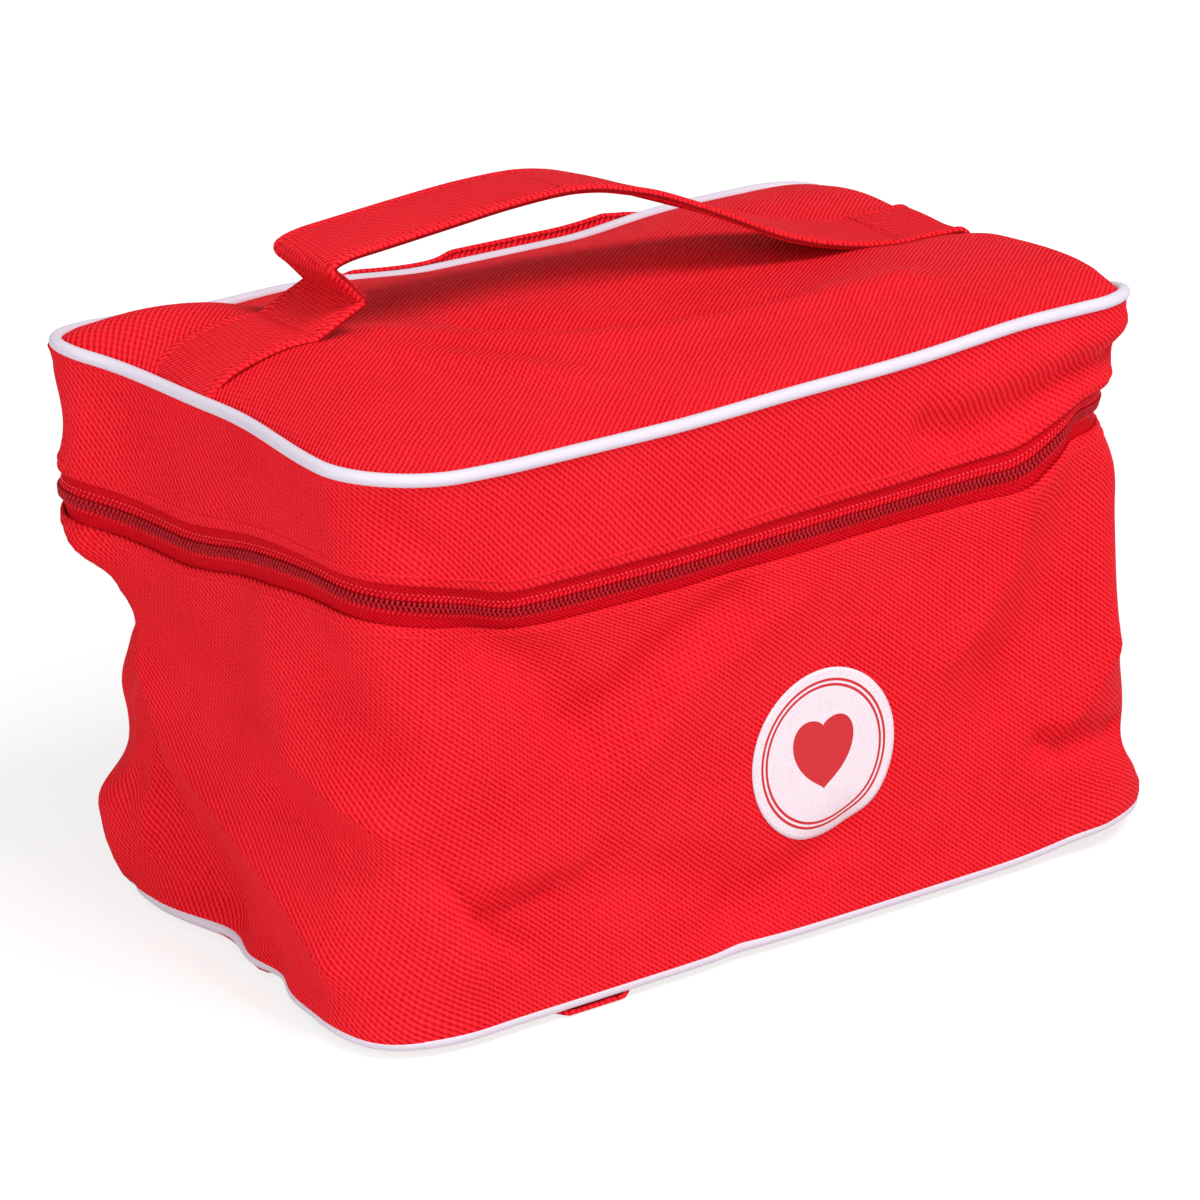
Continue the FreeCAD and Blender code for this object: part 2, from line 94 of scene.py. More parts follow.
def linear(hex_colour: str) -> tuple[float, float, float, float]:
    """Turn an sRGB hex colour such as "#E3142A" into linear RGBA."""
    parts = [int(hex_colour[i:i + 2], 16) / 255 for i in (1, 3, 5)]
    red, green, blue = (p / 12.92 if p <= 0.04045 else ((p + 0.055) / 1.055) ** 2.4 for p in parts)
    return red, green, blue, 1.0


def add(tree: Tree, kind: str, inputs: dict | None = None, **settings) -> bpy.types.Node:
    """Add one node with its settings and links.

    Args:
        tree: Node tree of the material.
        kind: Blender's node type.
        inputs: Socket name or number to a value, or to an output socket to link.
        settings: Properties of the node itself.

    Returns:
        The new node.
    """
    node = tree.nodes.new(kind)
    for name, value in settings.items():
        setattr(node, name, value)
    for key, value in (inputs or {}).items():
        if isinstance(value, Link):
            tree.links.new(value, node.inputs[key])
        else:
            node.inputs[key].default_value = value
    return node


def new_material(name: str) -> tuple[Material, Tree]:
    """Make an empty node material and give it with its tree."""
    material = bpy.data.materials.new(name)
    material.use_nodes = True
    material.node_tree.nodes.clear()
    return material, material.node_tree


@dataclass(frozen=True)
class WovenCloth:
    """A woven polyester: threads over and under, a soft sheen and a little fading, with painted highlights on the
    thread tops and painted shade between the threads.

    The weave is drawn on the piece's own UV map, which is in metres of cloth.
    """

    name: str
    # colour is the deeper tone, painted as shade in the gaps between threads; worn is the paler tone of faded
    # spots and of the painted highlights on the thread tops.
    colour: str
    worn: str
    thread: float
    relief: float
    sheen: float
    roughness: float = 0.72
    # Turns across and along the cloth in one thread's width, and height, of each wave of the weave.
    waves: tuple[Point, ...] = ((0.63, 0.77, 0.34), (0.85, -0.1, 0.12))
    wander_size: float = 9.0
    wander: float = 5.0
    slub: float = 0.3
    fade_size: float = 24.0
    fade: float = 0.3

    def material(self) -> Material:
        """Build the node material of this cloth."""
        material, tree = new_material(self.name)
        place = add(tree, "ShaderNodeUVMap").outputs["UV"]
        wobble = add(tree, "ShaderNodeTexNoise", {
            "Vector": place, "Scale": 1 / (self.wander_size * MM), "Detail": 3.0})
        drift = add(tree, "ShaderNodeMath", {0: wobble.outputs["Fac"], 1: self.wander}, operation="MULTIPLY")
        slub = add(tree, "ShaderNodeTexNoise", {"Vector": place, "Scale": 0.9 / (self.thread * MM), "Detail": 1.0})
        turn = FULL_TURN / (self.thread * MM)
        height = add(tree, "ShaderNodeMath", {0: slub.outputs["Fac"], 1: self.slub, 2: 0.35},
                     operation="MULTIPLY_ADD").outputs[0]
        for across, along, share in self.waves:
            phase = add(tree, "ShaderNodeVectorMath", {
                0: place, 1: (across * turn, along * turn, 0.0)}, operation="DOT_PRODUCT")
            moved = add(tree, "ShaderNodeMath", {0: phase.outputs["Value"], 1: drift.outputs[0]}, operation="ADD")
            wave = add(tree, "ShaderNodeMath", {0: moved.outputs[0]}, operation="SINE")
            height = add(tree, "ShaderNodeMath", {0: wave.outputs[0], 1: share, 2: height},
                         operation="MULTIPLY_ADD").outputs[0]
        fading = add(tree, "ShaderNodeTexNoise", {
            "Vector": place, "Scale": 1 / (self.fade_size * MM), "Detail": 4.0})
        # The cloth pales with faded spots and with the weave's height: painted highlights on the thread tops,
        # painted shade in the gaps.
        fading_and_painted_light = add(tree, "ShaderNodeMath", {0: fading.outputs["Fac"], 1: self.fade, 2: height},
                   operation="MULTIPLY_ADD")
        share = add(tree, "ShaderNodeMapRange", {"Value": fading_and_painted_light.outputs[0], "From Min": 0.15, "From Max": 1.15})
        colour = add(tree, "ShaderNodeMix", {
            "Factor": share.outputs[0], 6: linear(self.colour), 7: linear(self.worn)}, data_type="RGBA")
        bump = add(tree, "ShaderNodeBump", {"Height": height, "Strength": 0.85, "Distance": self.relief * MM})
        shader = add(tree, "ShaderNodeBsdfPrincipled", {
            "Base Color": colour.outputs[2], "Roughness": self.roughness, "IOR": 1.5,
            "Specular IOR Level": 0.05, "Sheen Weight": self.sheen, "Sheen Roughness": 0.4,
            "Sheen Tint": linear("#FF4A48"), "Normal": bump.outputs[0]})
        add(tree, "ShaderNodeOutputMaterial", {"Surface": shader.outputs[0]})
        return material


@dataclass(frozen=True)
class MouldedPlastic:
    """A smooth extruded or moulded plastic with faint cloudy unevenness."""

    name: str
    colour: str
    worn: str
    grain: float
    relief: float
    roughness: float
    gloss: float
    spread: float = 0.08

    def material(self) -> Material:
        """Build the node material of this plastic."""
        material, tree = new_material(self.name)
        place = add(tree, "ShaderNodeTexCoord").outputs["Object"]
        cloud = add(tree, "ShaderNodeTexNoise", {
            "Vector": place, "Scale": 1 / (self.grain * MM), "Detail": 3.0}).outputs["Fac"]
        colour = add(tree, "ShaderNodeMix", {
            "Factor": cloud, 6: linear(self.colour), 7: linear(self.worn)}, data_type="RGBA")
        rough = add(tree, "ShaderNodeMapRange", {
            "Value": cloud, "To Min": self.roughness - self.spread, "To Max": self.roughness + self.spread})
        bump = add(tree, "ShaderNodeBump", {"Height": cloud, "Strength": 0.3, "Distance": self.relief * MM})
        shader = add(tree, "ShaderNodeBsdfPrincipled", {
            "Base Color": colour.outputs[2], "Roughness": rough.outputs[0], "IOR": 1.5,
            "Specular IOR Level": self.gloss, "Normal": bump.outputs[0]})
        add(tree, "ShaderNodeOutputMaterial", {"Surface": shader.outputs[0]})
        return material


@dataclass(frozen=True)
class EnamelledMetal:
    """Die-cast zinc under red enamel: glossy, with bare grey rubs on the high spots."""

    name: str
    enamel: str
    zinc: str
    rub: float
    bare_marks: tuple[float, float] = (0.66, 0.74)
    roughness: tuple[float, float] = (0.22, 0.42)

    def material(self) -> Material:
        """Build the node material of this metal."""
        material, tree = new_material(self.name)
        place = add(tree, "ShaderNodeTexCoord").outputs["Object"]
        cloud = add(tree, "ShaderNodeTexNoise", {
            "Vector": place, "Scale": 1 / (self.rub * MM), "Detail": 4.0}).outputs["Fac"]
        (bare_from, bare_full), (polished, dull) = self.bare_marks, self.roughness
        bare = add(tree, "ShaderNodeMapRange", {
            "Value": cloud, "From Min": bare_from, "From Max": bare_full}).outputs[0]
        colour = add(tree, "ShaderNodeMix", {
            "Factor": bare, 6: linear(self.enamel), 7: linear(self.zinc)}, data_type="RGBA")
        rough = add(tree, "ShaderNodeMapRange", {"Value": cloud, "To Min": polished, "To Max": dull})
        shader = add(tree, "ShaderNodeBsdfPrincipled", {
            "Base Color": colour.outputs[2], "Metallic": bare, "Roughness": rough.outputs[0]})
        add(tree, "ShaderNodeOutputMaterial", {"Surface": shader.outputs[0]})
        return material


@dataclass(frozen=True)
class TransferPrint:
    """A screen-printed transfer: matt white film with red ink, in which the weave shows through.

    The print is two plain rings and a heart, drawn on the disc's own UV map in metres from its middle.
    """

    name: str
    film: str
    worn: str
    ink: str
    radius: float
    thread: float
    rings: tuple[float, float] = (0.80, 0.86)
    ring_width: float = 0.7
    heart_share: float = 0.42

    def heart(self, tree: Tree, place: Link) -> Link:
        """Draw a heart of ink, from the curve (x2 + y2 - 1)3 = x2 y3.

        Args:
            tree: Node tree of the material.
            place: The disc's UV, in metres from its middle.

        Returns:
            1 on the heart, 0 elsewhere.
        """
        scale = 1.12 / (self.radius * self.heart_share * MM)
        scaled = add(tree, "ShaderNodeMapping", {
            "Vector": place, "Location": (0.0, 0.1, 0.0), "Scale": (scale, scale, 0.0)}).outputs["Vector"]
        axes = add(tree, "ShaderNodeSeparateXYZ", {"Vector": scaled}).outputs
        across = add(tree, "ShaderNodeMath", {0: axes["X"], 1: axes["X"]}, operation="MULTIPLY")
        rise = add(tree, "ShaderNodeMath", {0: axes["Y"], 1: 3.0}, operation="POWER")
        reach = add(tree, "ShaderNodeVectorMath", {0: scaled, 1: scaled}, operation="DOT_PRODUCT")
        less = add(tree, "ShaderNodeMath", {0: reach.outputs["Value"], 1: 1.0}, operation="SUBTRACT")
        cube = add(tree, "ShaderNodeMath", {0: less.outputs[0], 1: 3.0}, operation="POWER")
        lobes = add(tree, "ShaderNodeMath", {0: across.outputs[0], 1: rise.outputs[0]}, operation="MULTIPLY")
        inside = add(tree, "ShaderNodeMath", {0: cube.outputs[0], 1: lobes.outputs[0]}, operation="LESS_THAN")
        return inside.outputs[0]

    def material(self) -> Material:
        """Build the node material of the print."""
        material, tree = new_material(self.name)
        place = add(tree, "ShaderNodeUVMap").outputs["UV"]
        length = add(tree, "ShaderNodeVectorMath", {0: place}, operation="LENGTH")
        reach = add(tree, "ShaderNodeMath", {0: length.outputs["Value"], 1: 1 / MM}, operation="MULTIPLY")
        inked = self.heart(tree, place)
        for share in self.rings:
            ring = add(tree, "ShaderNodeMath", {
                0: reach.outputs[0], 1: self.radius * share, 2: self.ring_width / 2}, operation="COMPARE")
            inked = add(tree, "ShaderNodeMath", {0: inked, 1: ring.outputs[0]}, operation="MAXIMUM").outputs[0]
        threads = add(tree, "ShaderNodeTexVoronoi", {
            "Vector": place, "Scale": 1 / (self.thread * MM)}).outputs["Distance"]
        worn = add(tree, "ShaderNodeMapRange", {
            "Value": threads, "From Min": 0.3, "From Max": 0.8, "To Max": 0.25})
        film = add(tree, "ShaderNodeMix", {
            "Factor": worn.outputs[0], 6: linear(self.film), 7: linear(self.worn)}, data_type="RGBA")
        colour = add(tree, "ShaderNodeMix", {
            "Factor": inked, 6: film.outputs[2], 7: linear(self.ink)}, data_type="RGBA")
        bump = add(tree, "ShaderNodeBump", {"Height": threads, "Strength": 0.4, "Distance": 0.12 * MM})
        shader = add(tree, "ShaderNodeBsdfPrincipled", {
            "Base Color": colour.outputs[2], "Roughness": 0.6, "IOR": 1.5, "Normal": bump.outputs[0]})
        add(tree, "ShaderNodeOutputMaterial", {"Surface": shader.outputs[0]})
        return material


# 600-denier polyester oxford: a coarse plain weave whose threads stand up as small dots, with a painted highlight
# on their tops and painted shade between them.
OXFORD = WovenCloth("polyester_oxford_red", "#BE0010", "#FF2C38", 1.1, 0.55, 0.03)
# The same oxford doubled into a strap, a little denser.
STRAP_CLOTH = WovenCloth("polyester_strap_red", "#BC0010", "#FF303A", 1.0, 0.6, 0.03)
# Woven polyester zip tape: fine ribs, darker because it lies in shade and is dyed deeper.
ZIP_TAPE = WovenCloth("polyester_zip_tape_red", "#A80010", "#D20A1C", 0.9, 0.3, 0.02)
# Woven binding tape on the seams inside: fine and even.
BINDING_TAPE = WovenCloth("polyester_binding_red", "#B80319", "#DA182C", 0.8, 0.25, 0.05)
# Extruded white vinyl: smooth and softly glossy.
PIPING_VINYL = MouldedPlastic("extruded_vinyl_white", "#D0C8D4", "#C6BECC", 14.0, 0.05, 0.45, 0.3)
# Nylon monofilament wound into the zip coil: dull, brownish red.
COIL_NYLON = MouldedPlastic("nylon_monofilament_red", "#B81A26", "#94121D", 3.0, 0.05, 0.55, 0.1)
# Polyester sewing thread, lighter where it catches the light.
ZIP_THREAD = MouldedPlastic("polyester_thread_pink", "#F0505C", "#E02C3A", 2.0, 0.1, 0.6, 0.1)
SEAM_THREAD = MouldedPlastic("polyester_thread_red", "#EC2430", "#CC101E", 2.0, 0.1, 0.6, 0.1)
# Enamelled slider and pull: bright, with worn grey spots.
SLIDER_ENAMEL = EnamelledMetal("enamelled_zinc_red", "#B5081E", "#A9A6A4", 2.5)
# Printed badge: matt white that takes a pink cast from the weave.
BADGE_RADIUS = 21.5
BADGE_PRINT = TransferPrint("transfer_film_white", "#D6CED6", "#E8A0AA", "#B80618", BADGE_RADIUS, 0.6)


class Finishes:
    """The materials of the case, each made once."""

    def __init__(self) -> None:
        """Make the materials."""
        self.oxford = OXFORD.material()
        self.strap = STRAP_CLOTH.material()
        self.tape = ZIP_TAPE.material()
        self.binding = BINDING_TAPE.material()
        self.piping = PIPING_VINYL.material()
        self.coil = COIL_NYLON.material()
        self.zip_thread = ZIP_THREAD.material()
        self.seam_thread = SEAM_THREAD.material()
        self.enamel = SLIDER_ENAMEL.material()
        self.badge = BADGE_PRINT.material()


# Shapes


@dataclass(frozen=True)
class Outline:
    """A rounded rectangle round the Z axis, walked from the back middle by the left side."""

    length: float
    depth: float
    corner: float

    def inset(self, distance: float) -> "Outline":
        """Give the outline that lies a distance inside this one."""
        return Outline(self.length - 2 * distance, self.depth - 2 * distance, max(self.corner - distance, 0.5))

    def towards(self, other: "Outline", share: float) -> "Outline":
        """Give the outline part of the way to another one."""
        return Outline(self.length + (other.length - self.length) * share,
                       self.depth + (other.depth - self.depth) * share,
                       self.corner + (other.corner - self.corner) * share)

    def runs(self) -> list[float]:
        """List the lengths of the straight and round runs in order."""
        half_back = self.length / 2 - self.corner
        side = self.depth - 2 * self.corner
        arc = self.corner * math.pi / 2
        return [half_back, arc, side, arc, 2 * half_back, arc, side, arc, half_back]

    def at(self, run: int, share: float) -> tuple[float, float]:
        """Find a point of the outline.

        Args:
            run: Number of the run.
            share: How far along the run, from 0 to 1.

        Returns:
            The point's x and y.
        """
        reach_x, reach_y = self.length / 2 - self.corner, self.depth / 2 - self.corner
        if run % 2:
            centres = (-reach_x, reach_y), (-reach_x, -reach_y), (reach_x, -reach_y), (reach_x, reach_y)
            centre = centres[run // 2]
            angle = math.radians(90 * (run // 2 + 1 + share))
            return centre[0] + self.corner * math.cos(angle), centre[1] + self.corner * math.sin(angle)
        ends = ((0, 1), (-1, 1)), ((-1, 1), (-1, -1)), ((-1, -1), (1, -1)), ((1, -1), (1, 1)), ((1, 1), (0, 1))
        (from_x, from_y), (to_x, to_y) = ends[run // 2]
        lift_x = -self.corner if run == 2 else self.corner if run == 6 else 0.0
        lift_y = self.corner if run in (0, 8) else -self.corner if run == 4 else 0.0
        return (reach_x * (from_x + (to_x - from_x) * share) + lift_x,
                reach_y * (from_y + (to_y - from_y) * share) + lift_y)

    def half_width(self, y: float) -> float:
        """Give half the outline's length at a depth y."""
        over = max(abs(y) - (self.depth / 2 - self.corner), 0.0)
        return self.length / 2 - self.corner + math.sqrt(max(self.corner ** 2 - over ** 2, 0.0))


@dataclass(frozen=True)
class Press:
    """A soft push on the cloth along a line: a dent, a bulge or the ridge of a fold."""

    line: tuple[Point, ...]
    push: Point
    reach: float
    crisp: bool = False

    def weight(self, places: np.ndarray) -> np.ndarray:
        """Say how much each place, in rows, follows the push, from 0 to 1."""
        nearest = np.full(len(places), np.inf)
        corners = np.array(self.line if len(self.line) > 1 else self.line * 2, float)
        for start, end in zip(corners[:-1], corners[1:]):
            run = end - start
            along = np.clip((places - start) @ run / max(run @ run, 1e-9), 0.0, 1.0)
            nearest = np.minimum(nearest, np.linalg.norm(places - start - along[:, None] * run, axis=1))
        return np.exp(-nearest / self.reach) if self.crisp else np.exp(-(nearest / self.reach) ** 2)


@dataclass(frozen=True)
class Slump:
    """How the sewn box has sunk out of its cut shape: all its presses together."""

    presses: tuple[Press, ...]
    floor: float = 0.2

    def settle(self, places: np.ndarray) -> np.ndarray:
        """Move points of the cut shape, in rows, to where the slack cloth lies."""
        moved = places.copy()
        for press in self.presses:
            moved += press.weight(places)[:, None] * np.array(press.push)
        moved[:, 2] = np.maximum(moved[:, 2], self.floor)
        return moved

    def more(self, *presses: Press) -> "Slump":
        """Give this slump with more presses."""
        return Slump(self.presses + presses)


FRONT_WALL = -71.0


def lift(rise: float, reach: float, *line: Point) -> Press:
    """Raise the cloth along a line, or let it sink."""
    return Press(line, (0, 0, rise), reach)


def fold(depth: float, reach: float, *spots: tuple[float, float], crisp: bool = False) -> Press:
    """Fold the front wall inwards along pairs of x and z, or outwards below 0."""
    return Press(tuple((x, FRONT_WALL, z) for x, z in spots), (0, depth, 0), reach, crisp)


def dent(x: float, depth: float, reach: float, *spots: tuple[float, float]) -> Press:
    """Dent the left wall at x along pairs of y and z, or bulge it below 0."""
    return Press(tuple((x, y, z) for y, z in spots), (depth, 0, 0), reach)


def rear_left(height: float, inward: float, reach: float) -> Press:
    """Press the rear left corner in along its diagonal at one height."""
    line = ((-117, 48, height), (-113, 60, height), (-103, 68, height))
    return Press(line, (0.8 * inward, -0.6 * inward, 0), reach)


SLUMP = Slump((
    # The lid stands higher at the front right, and its right corner is drawn in.
    lift(3.2, 32, (76, -68, 138), (112, -60, 138)),
    lift(3.2, 14, (98, -66, 110), (112, -60, 110)),
    lift(-4.0, 9, (115, -46, 137), (115, 50, 137)),
    Press(((114, -57, 138),), (-4.0, 1.2, -0.8), 7),
    Press(((110, -60, 121), (115, -52, 121)), (-2.4, 1.6, 0), 8),
    # The zip sags along the front, the lid's front at the left, and its rear edge in the middle.
    lift(-5.8, 15, (-78, -68, 108), (64, -68, 108)),
    lift(-2.2, 35, (-75, -68, 122), (-40, -68, 122)),
    Press(((-10, 68, 140), (30, 68, 140)), (0, -1, -2.8), 24),
    # The rear left corner of the lid is drawn out, and the zip below it hangs.
    Press(((-112, 62, 140), (-112, 62, 106)), (-9.5, 3.0, 1.2), 18),
    Press(((-112, 62, 122),), (2.5, -2.0, 0), 9),
    Press(((-115, 58, 106), (-115, 16, 106)), (-3.5, 0, -6.0), 27),
    lift(0.8, 16, (-115, -44, 108)),
    # The left edge of the lid waves in and out.
    dent(-115, 2, 30, (5, 138)),
    dent(-115, -2.5, 25, (-45, 138)),
    # The rear left corner of the body buckles in under the zip and twice below.
    Press(((-113, 60, 90), (-113, 60, 76)), (7.8, -5.8, 0), 12),
    Press(((-113, 60, 54), (-113, 60, 42)), (6.4, -4.8, 0), 12),
    Press(((-115, 58, 24),), (-2.4, 1.8, 0), 10),
    Press(((-112, 62, 3),), (4.4, -3.4, 0), 13),
    Press(((-117, 48, 96), (-113, 60, 96), (-107, 65, 96)), (-6.7, 0, 1.5), 6),
    rear_left(86, 1.8, 5), rear_left(77, 10.4, 11.5), rear_left(48, -1.6, 7), rear_left(30, 3.0, 7),
    rear_left(11, -2.0, 5), rear_left(0.5, 4.4, 5),
    # The left wall has caved in behind one long fold, with two small folds in the hollow.
    dent(-117, 8, 13, (42, 48), (26, 28), (4, 14)),
    Press(((-117, 41, 86), (-117, 33, 66), (-117, 24, 53), (-117, 8, 45), (-117, -13, 37), (-117, -33, 28),
           (-117, -50, 18)), (-5.6, -1, 0), 8, True),
    dent(-115, -3.4, 4, (26, 44), (17, 32), (6, 21), (-9, 13)),
    dent(-114, -2.6, 4, (40, 42), (38, 18)),
    dent(-118, 3.2, 24, (12, 4)),
    dent(-118, 2.4, 11, (42, 3)),
    dent(-118, 4.5, 9, (-20, 4)),
    Press(((-112, -67, 6),), (-4.0, -1.4, 0), 15),
    # Front left corner: a soft edge under the zip, a ridge over a hollow, and a dent with a sharp edge.
    dent(-117, -2.2, 9, (-22, 96), (-24, 81), (-31, 70)),
    Press(((-115, -48, 84), (-112, -57, 70)), (3.2, 1.9, 0), 10),
    Press(((-118, -18, 66), (-117, -40, 60), (-112, -62, 54)), (-3.4, -1.6, 0), 5, True),
    Press(((-117, -25, 51), (-115, -52, 46)), (2.8, 1.6, 0), 7),
    Press(((-111, -67, 51), (-111, -67, 42)), (-1.6, -3.0, 0), 3, True),
    # Two creases meet by the lower left of the front.
    fold(4.8, 3.5, (-104, 48), (-97, 38), (-92, 30), (-88, 26), (-81, 20), crisp=True),
    fold(4.0, 3.5, (-89, 30), (-74, 32), crisp=True),
    Press(((-104, -70, 32), (-96, -71, 20)), (-1.0, -2.4, 0), 8),
    fold(-2.4, 6, (-84, 40), (-66, 38)),
    # The front wall: slanting valleys and ridges from the zip, and a long fold from the right end.
    fold(5.5, 9, (-86, 100), (-73, 86), (-64, 73)),
    fold(-4, 8, (-100, 80), (-86, 60), (-80, 46), crisp=True),
    fold(4.4, 8, (-18, 92), (-42, 79), (-58, 66)),
    fold(-4.6, 8, (2, 90), (-34, 72), (-48, 58), crisp=True),
    fold(3.4, 9, (-60, 32), (-20, 20)),
    fold(3.6, 7, (16, 23), (0, 17), (-18, 12)),
    fold(-5.4, 8, (72, 102), (66, 83), (55, 70), (44, 62), crisp=True),
    Press(((90, -70, 88), (80, -70, 64), (66, -70, 50)), (0, 5.0, 0), 12),
    Press(((102, -69, 52), (92, -70, 44), (83, -71, 35)), (0.6, -4.0, 0), 6, True),
    Press(((78, -71, 31), (104, -68, 26)), (0, 5.0, 0), 5),
    Press(((94, -72, 10), (112, -64, 9)), (2.4, -2.2, 0), 8),
    # The right front corner lifts at the floor and is drawn in at the zip and below it.
    lift(3.2, 20, (100, -70, 3), (113, -58, 3)),
    Press(((97, -67, 105), (110, -60, 105), (113, -57, 105)), (-4.6, 3.4, 0), 9),
    Press(((113, -60, 82), (113, -60, 52)), (-1.5, 1.1, 0), 13),
    Press(((114, -58, 20),), (-2.4, 1.8, 0), 6),
    # The zip lies level where the slider stops.
    lift(-1.55, 10.5, (115, -44, 108), (115, -48, 108)),
    # The lid wall: a slanting crease at the right front under a bulge, and a dent at the left corner.
    Press(((41, -68, 120.5), (62, -68, 119.8), (76, -68, 120.4), (90, -68, 121.4), (104, -65, 122.5)),
          (0, 4.4, -0.4), 4.5),
    Press(((52, -68, 127), (76, -68, 128.5), (92, -68, 129.5), (108, -63, 130)), (0, -2.4, 0), 5),
    Press(((-108, -64, 128), (-104, -66, 122)), (1.8, 1.8, 0), 5),
    # The top panel is drawn up by the handle's left end and sinks under its right half.
    lift(3.4, 22, (-88, 0, 144), (-90, 28, 144)),
    lift(2.8, 16, (-104, 52, 141)),
    lift(-2.4, 14, (-74, 52, 143)),
    lift(-3.5, 24, (10, -6, 144), (60, 8, 144)),
    lift(-2.4, 18, (72, 24, 144), (112, 18, 144)),
    lift(-2.6, 10, (90, 3, 143), (112, 0, 143)),
    lift(2.6, 8, (-66, 2, 146), (-30, -26, 146), (60, -34, 146)),
    lift(-2.6, 7, (-40, 0, 146), (-10, -16, 146), (30, -22, 146)),
    lift(2.0, 6, (-70, -12, 146), (-46, -40, 146)),
))
# The top panel swells over its piping at the rear left corner.
TOP_SLUMP = SLUMP.more(lift(2.4, 12, (-98, 46, 144), (-88, 46, 144)))
# The lid's rear wall puffs up behind its piping, and two of its corners stand out a little.
LID_WALL_SLUMP = SLUMP.more(
    *(Press(((first, 69, 138), (last, 69, 138)), (0, 1.0, 1.2), 4.5)
      for first, last in ((-52, 58), (-30, 52), (0, 46))),
    Press(((-114, 65, 133),), (-1.6, 1.2, 0), 8),
    Press(((114, -54, 136),), (1.6, -0.6, 0.6), 5))
# The bottom panel's seam allowance shows under the piping in two places.
BOTTOM_SLUMP = SLUMP.more(
    Press(((-69, -72, 3), (-54, -72, 3)), (0, -2.6, -2.4), 3.5),
    Press(((-114, -3, 3), (-114, -10, 3)), (-1.4, 0, -2.4), 3.5))


# Modelling


def start_piece() -> None:
    """Leave edit mode and deselect everything before a new primitive is added."""
    if bpy.context.mode != "OBJECT":
        bpy.ops.object.mode_set(mode="OBJECT")
    bpy.ops.object.select_all(action="DESELECT")


def pick(piece: Piece) -> None:
    """Make a piece the active one and the only one selected."""
    start_piece()
    piece.select_set(True)
    bpy.context.view_layer.objects.active = piece


def join(first: Piece, *others: Piece) -> None:
    """Join other pieces into the first one."""
    pick(first)
    for other in others:
        other.select_set(True)
    bpy.ops.object.join()


def add_cube(middle: Point, size: Point) -> Piece:
    """Add a box of the given sizes, with its place in the mesh."""
    start_piece()
    bpy.ops.mesh.primitive_cube_add(size=MM, location=tuple(v * MM for v in middle))
    bpy.ops.transform.resize(value=size)
    bpy.ops.object.transform_apply(location=True, rotation=True, scale=True)
    return bpy.context.view_layer.objects.active


def round_edges(offset: float, segments: int) -> None:
    """Bevel every edge of the active piece."""
    bpy.ops.object.mode_set(mode="EDIT")
    bpy.ops.mesh.select_all(action="SELECT")
    bpy.ops.mesh.bevel(offset=offset * MM, segments=segments, affect="EDGES")
    bpy.ops.object.mode_set(mode="OBJECT")


def apply_modifier(piece: Piece, kind: str, **settings) -> None:
    """Add one modifier to a piece and apply it."""
    modifier = piece.modifiers.new(kind.lower(), kind)
    for name, value in settings.items():
        setattr(modifier, name, value)
    pick(piece)
    bpy.ops.object.modifier_apply(modifier=modifier.name)


def thicken(piece: Piece, thickness: float) -> None:
    """Give a sheet its thickness on the inner side."""
    apply_modifier(piece, "SOLIDIFY", thickness=thickness * MM, offset=-1.0)


def mesh_object(name: str, points: np.ndarray, faces: list[tuple[int, ...]]) -> Piece:
    """Make a smooth shaded object at the origin from points in millimetres.

    Args:
        name: Name of the piece.
        points: Vertices in rows.
        faces: Vertex numbers of each face.

    Returns:
        The object.
    """
    mesh = bpy.data.meshes.new(name)
    mesh.from_pydata((points * MM).tolist(), [], faces)
    mesh.polygons.foreach_set("use_smooth", [True] * len(mesh.polygons))
    piece = bpy.data.objects.new(name, mesh)
    bpy.context.scene.collection.objects.link(piece)
    return piece


def grid_faces(rows: int, columns: int, closed: bool = False) -> list[tuple[int, ...]]:
    """List the faces of a grid of points that run row by row.

    Args:
        rows: Number of rows.
        columns: Points in a row.
        closed: Whether each row meets itself.

    Returns:
        Vertex numbers of each face.
    """
    faces = []
    for row in range(rows - 1):
        for step in range(columns if closed else columns - 1):
            after = (step + 1) % columns
            faces.append((row * columns + step, row * columns + after,
                          (row + 1) * columns + after, (row + 1) * columns + step))
    return faces


def lay_cloth(piece: Piece, places: np.ndarray, wrap: float = 0.0) -> None:
    """Give a piece its UV map in metres of cloth.

    Args:
        piece: The piece.
        places: Each vertex's place on the flat cloth, in millimetres.
        wrap: Length of cloth after which a closed piece meets itself, or 0.
    """
    layer = piece.data.uv_layers.new(name="cloth")
    for polygon in piece.data.polygons:
        corners = [places[piece.data.loops[i].vertex_index] for i in polygon.loop_indices]
        widest = max(c[0] for c in corners)
        for loop, (u, v) in zip(polygon.loop_indices, corners):
            if wrap and widest - u > wrap / 2:
                u += wrap
            layer.data[loop].uv = (u * MM, v * MM)


class Stations:
    """Even steps along the case's outline, kept as runs and shares so that every ring lines up."""

    def __init__(self, outline: Outline, step: float, short: float = 0.0) -> None:
        """Lay out the steps.

        Args:
            outline: Outline that the steps are measured on.
            step: Wanted length of a step.
            short: How far from the back middle to start and stop, or 0 for a closed ring.
        """
        runs = outline.runs()
        self.total = sum(runs)
        self.closed = short == 0.0
        length = self.total - 2 * short
        count = max(int(round(length / step / 4)) * 4, 4)
        self.lengths = short + length * np.arange(count if self.closed else count + 1) / count
        starts = np.concatenate([[0.0], np.cumsum(runs)])
        self.places: list[tuple[int, float]] = []
        for place in self.lengths:
            run = min(int(np.searchsorted(starts, place, side="right")) - 1, len(runs) - 1)
            self.places.append((run, (place - starts[run]) / runs[run]))

    def ring(self, outline: Outline, height: float) -> np.ndarray:
        """Give the points of an outline at a height, in rows."""
        return np.array([(*outline.at(run, share), height) for run, share in self.places])


